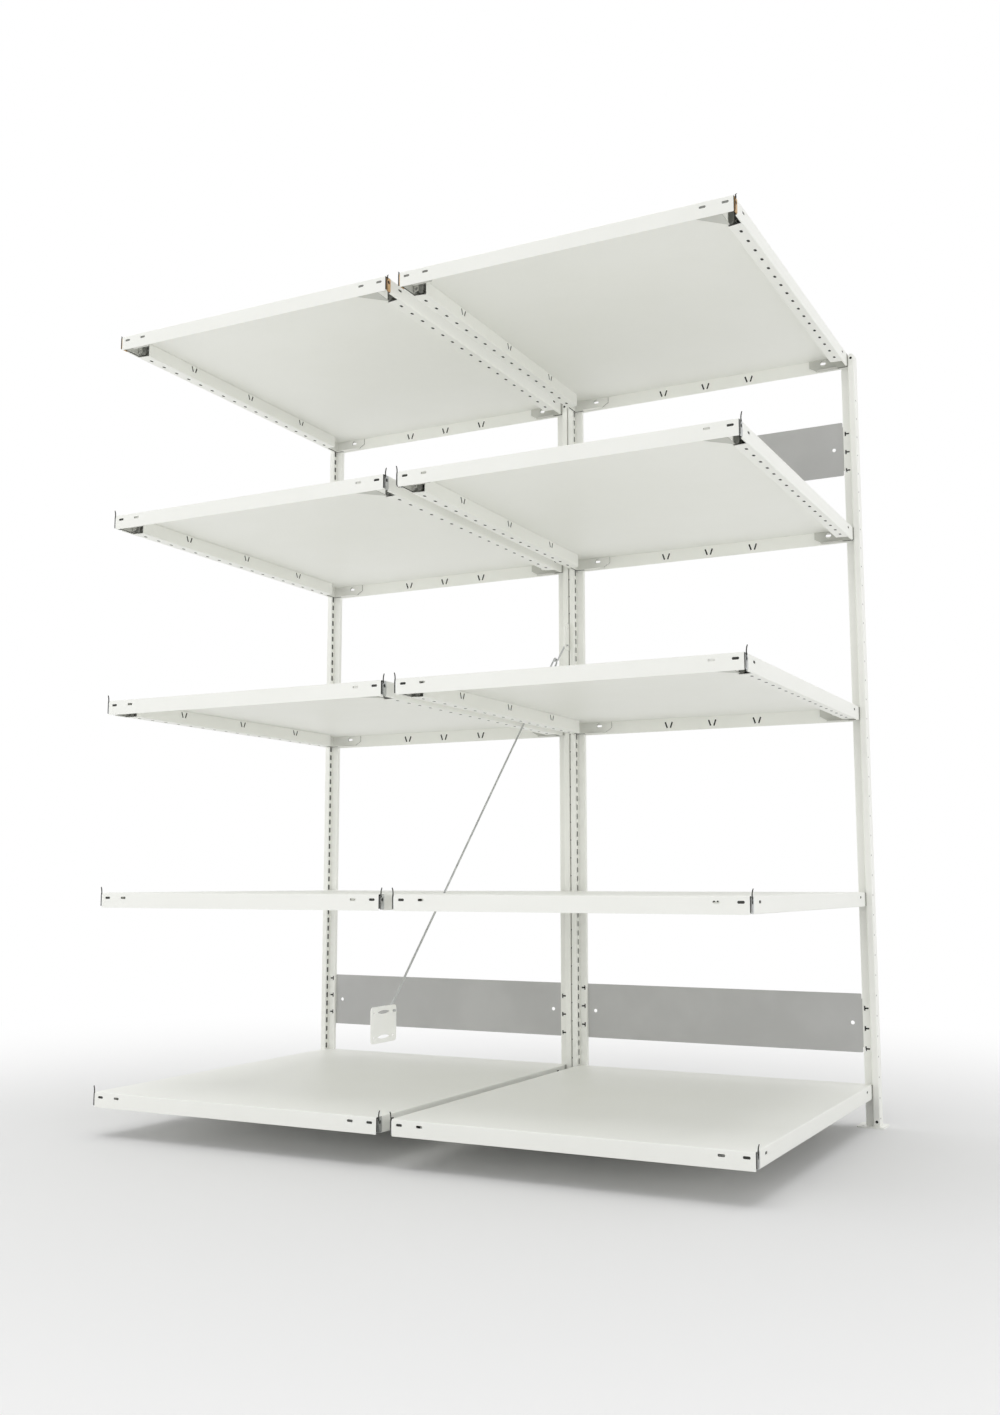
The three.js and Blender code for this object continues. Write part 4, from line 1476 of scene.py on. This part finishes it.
@dataclass
class Bolts(Part):
    """The bolts and nuts through the two middle uprights."""

    face: float = 3.3
    head_height: float = 4.0
    nut_height: float = 5.0
    tail: float = 2.0
    head_radius: float = 5.5
    chamfer: float = 0.6
    shank_radius: float = 3.0
    shank_sides: int = 16
    thread_pitch: float = 1.0
    thread_depth: float = 0.35

    def hexagon(self, low: float, high: float) -> Mesh:
        """A chamfered hexagon along X between two places.

        Args:
            low: Where it begins along X.
            high: Where it ends along X.

        Returns:
            The mesh.
        """
        mesh = bmesh.new()
        turn = Matrix.Translation(((low + high) / 2, 0.0, 0.0)) @ Matrix.Rotation(math.pi / 2, 4, "Y")
        bmesh.ops.create_cone(mesh, cap_ends=True, segments=6, radius1=self.head_radius,
                              radius2=self.head_radius, depth=high - low, matrix=turn)
        rims = [edge for edge in mesh.edges if abs(edge.verts[0].co.x - edge.verts[1].co.x) < MERGE_DISTANCE]
        bmesh.ops.bevel(mesh, geom=rims, offset=self.chamfer, affect="EDGES", segments=2, profile=0.5,
                        material=-1)
        return mesh

    def threaded(self, low: float, high: float) -> Mesh:
        """A round shank with thread ridges along X between two places.

        Args:
            low: Where it begins along X.
            high: Where it ends along X.

        Returns:
            The mesh.
        """
        mesh = bmesh.new()
        steps = int((high - low) / (self.thread_pitch / 2))
        profile = [mesh.verts.new((low, 0.0, 0.0))]
        for step in range(steps + 1):
            radius = self.shank_radius - (self.thread_depth if step % 2 else 0.0)
            profile.append(mesh.verts.new((low + (high - low) * step / steps, 0.0, radius)))
        profile.append(mesh.verts.new((high, 0.0, 0.0)))
        edges = [mesh.edges.new(pair) for pair in pairwise(profile)]
        bmesh.ops.spin(mesh, geom=[*profile, *edges], cent=(0, 0, 0), axis=(1, 0, 0), angle=2 * math.pi,
                       steps=self.shank_sides, use_merge=True)
        bmesh.ops.remove_doubles(mesh, verts=mesh.verts[:], dist=MERGE_DISTANCE)
        turn_outwards(mesh)
        return mesh

    def build(self) -> None:
        """Puts each bolt and its nut in place."""
        face, nut_end = self.face, self.face + self.nut_height
        bolt = joined(self.hexagon(-face - self.head_height, -face),
                      self.threaded(-face - self.head_height / 2, nut_end + self.tail))
        nut = self.hexagon(face, nut_end)
        for use, height in self.unit.bolts:
            place = Matrix.Translation((0.0, self.unit.rail_plane + self.unit.bolt_middle, height))
            for kind, shape in (("bolt", bolt), ("nut", nut)):
                self.put(f"{use}_hex_{kind}", shape, [Finish.BRIGHT], "frame", "bright_zinc", place,
                         f"{use}_{kind}")
        bolt.free()
        nut.free()


# Studio


@dataclass(frozen=True)
class SoftBox:
    """A wide soft lamp."""

    name: str
    size: Pair
    place: Triple
    power: float

    def hang(self, target: Vector) -> None:
        """Puts the lamp in place, turned towards a target.

        Args:
            target: The point that it shines on.
        """
        lamp = bpy.data.lights.new(self.name, "AREA")
        lamp.shape = "RECTANGLE"
        lamp.size, lamp.size_y = self.size
        lamp.energy = self.power
        holder = shown(self.name, lamp)
        holder.location = self.place
        holder.rotation_euler = (target - holder.location).to_track_quat("-Z", "Y").to_euler()


@dataclass
class Studio:
    """The floor, the soft light and the camera, in metres."""

    floor_radius: float = 30.0
    floor_sides: int = 64
    fade_centre: Triple = (0.0, -0.25, 0.0)
    fade: Pair = (0.85, 3.45)
    painted_floor_shade: Pair = (1.2, 3.4)
    floor_near_painted_shade: Colour = (0.88, 0.88, 0.88)
    floor_far: Colour = (0.97, 0.97, 0.97)
    white: tuple[float, ...] = (1.0, 1.0, 1.0, 1.0)
    dome_strength: float = 0.56
    lamps: tuple[SoftBox, ...] = (
        SoftBox("overhead_box", (8.0, 8.0), (0.0, -0.5, 8.0), 250.0),
        SoftBox("front_box", (4.0, 3.0), (-2.4, -6.9, 1.2), 90.0),
        SoftBox("left_box", (4.0, 3.0), (-7.0, 0.0, 1.2), 104.0),
        SoftBox("right_box", (4.0, 3.0), (7.0, 0.0, 1.2), 80.0),
    )
    lamp_target: Triple = (0.0, 0.0, 0.9)
    camera_place: Triple = (1.62339, -3.10689, 0.60752)
    camera_turn: Triple = (math.pi / 2 + 0.13017, 0.0, 0.47781)
    sensor: float = 36.0
    lens: float = 49.985
    shift: Pair = (0.00353, -0.00803)

    def floor(self) -> None:
        """Lays the pale floor, which is painted darker with shade near the unit and fades to white far from
        the unit.
        """
        mesh = bmesh.new()
        bmesh.ops.create_circle(mesh, cap_ends=True, segments=self.floor_sides, radius=self.floor_radius)
        data = mesh_data("floor", mesh)
        floor = shown("floor", data)
        made = bpy.data.materials.new("pale_floor")
        tree = FinishTree(made)
        distance = tree.add("ShaderNodeVectorMath", {"operation": "DISTANCE"}, "Value", Vector=tree.place(),
                            Vector_001=self.fade_centre)
        # Painted shade: the floor's colour is darker near the unit and paler farther off.
        painted_floor_shade = tree.blend(distance.ramp(*self.painted_floor_shade), self.floor_near_painted_shade, self.floor_far)
        surface = tree.add("ShaderNodeBsdfDiffuse", {}, Color=painted_floor_shade)
        white = tree.add("ShaderNodeEmission", {}, Color=self.white, Strength=1.0)
        share = distance.ramp(*self.fade) * tree.seen_by("Camera", "Glossy")
        mixed = tree.add("ShaderNodeMixShader", {}, Fac=share, Shader=surface, Shader_001=white)
        tree.finish("ShaderNodeOutputMaterial", mixed)
        data.materials.append(made)

    def light(self) -> None:
        """Sets the white dome and the soft lamps."""
        world = bpy.data.worlds.new("white_dome")
        bpy.context.scene.world = world
        tree = FinishTree(world)
        seen = tree.seen_by("Camera", "Glossy", "Transmission")
        dome = tree.add("ShaderNodeBackground", {}, Color=self.white, Strength=self.dome_strength)
        white = tree.add("ShaderNodeBackground", {}, Color=self.white, Strength=1.0)
        mixed = tree.add("ShaderNodeMixShader", {}, Fac=seen, Shader=dome, Shader_001=white)
        tree.finish("ShaderNodeOutputWorld", mixed)
        for lamp in self.lamps:
            lamp.hang(Vector(self.lamp_target))
        bpy.context.scene.view_settings.view_transform = "Standard"

    def camera(self) -> None:
        """Sets the camera at the photograph's viewing angle."""
        data = bpy.data.cameras.new("camera")
        data.sensor_fit = "HORIZONTAL"
        data.sensor_width = self.sensor
        data.lens = self.lens
        data.shift_x, data.shift_y = self.shift
        camera = shown("camera", data)
        camera.location = self.camera_place
        camera.rotation_euler = self.camera_turn
        bpy.context.scene.camera = camera

    def build(self) -> None:
        """Makes the studio."""
        self.camera()
        self.floor()
        self.light()


def main() -> None:
    """Builds every sub-assembly in order and the studio round them."""
    logging.basicConfig(level=logging.INFO, format="%(name)s: %(message)s")
    Studio().build()
    unit = UnitSizes()
    for kind in (Trays, Brackets, Uprights, FootPlates, BackPanels, Bracing, Bolts):
        kind(unit).build()
        log.info("%s done", kind.__name__)


if __name__ == "__main__":
    main()
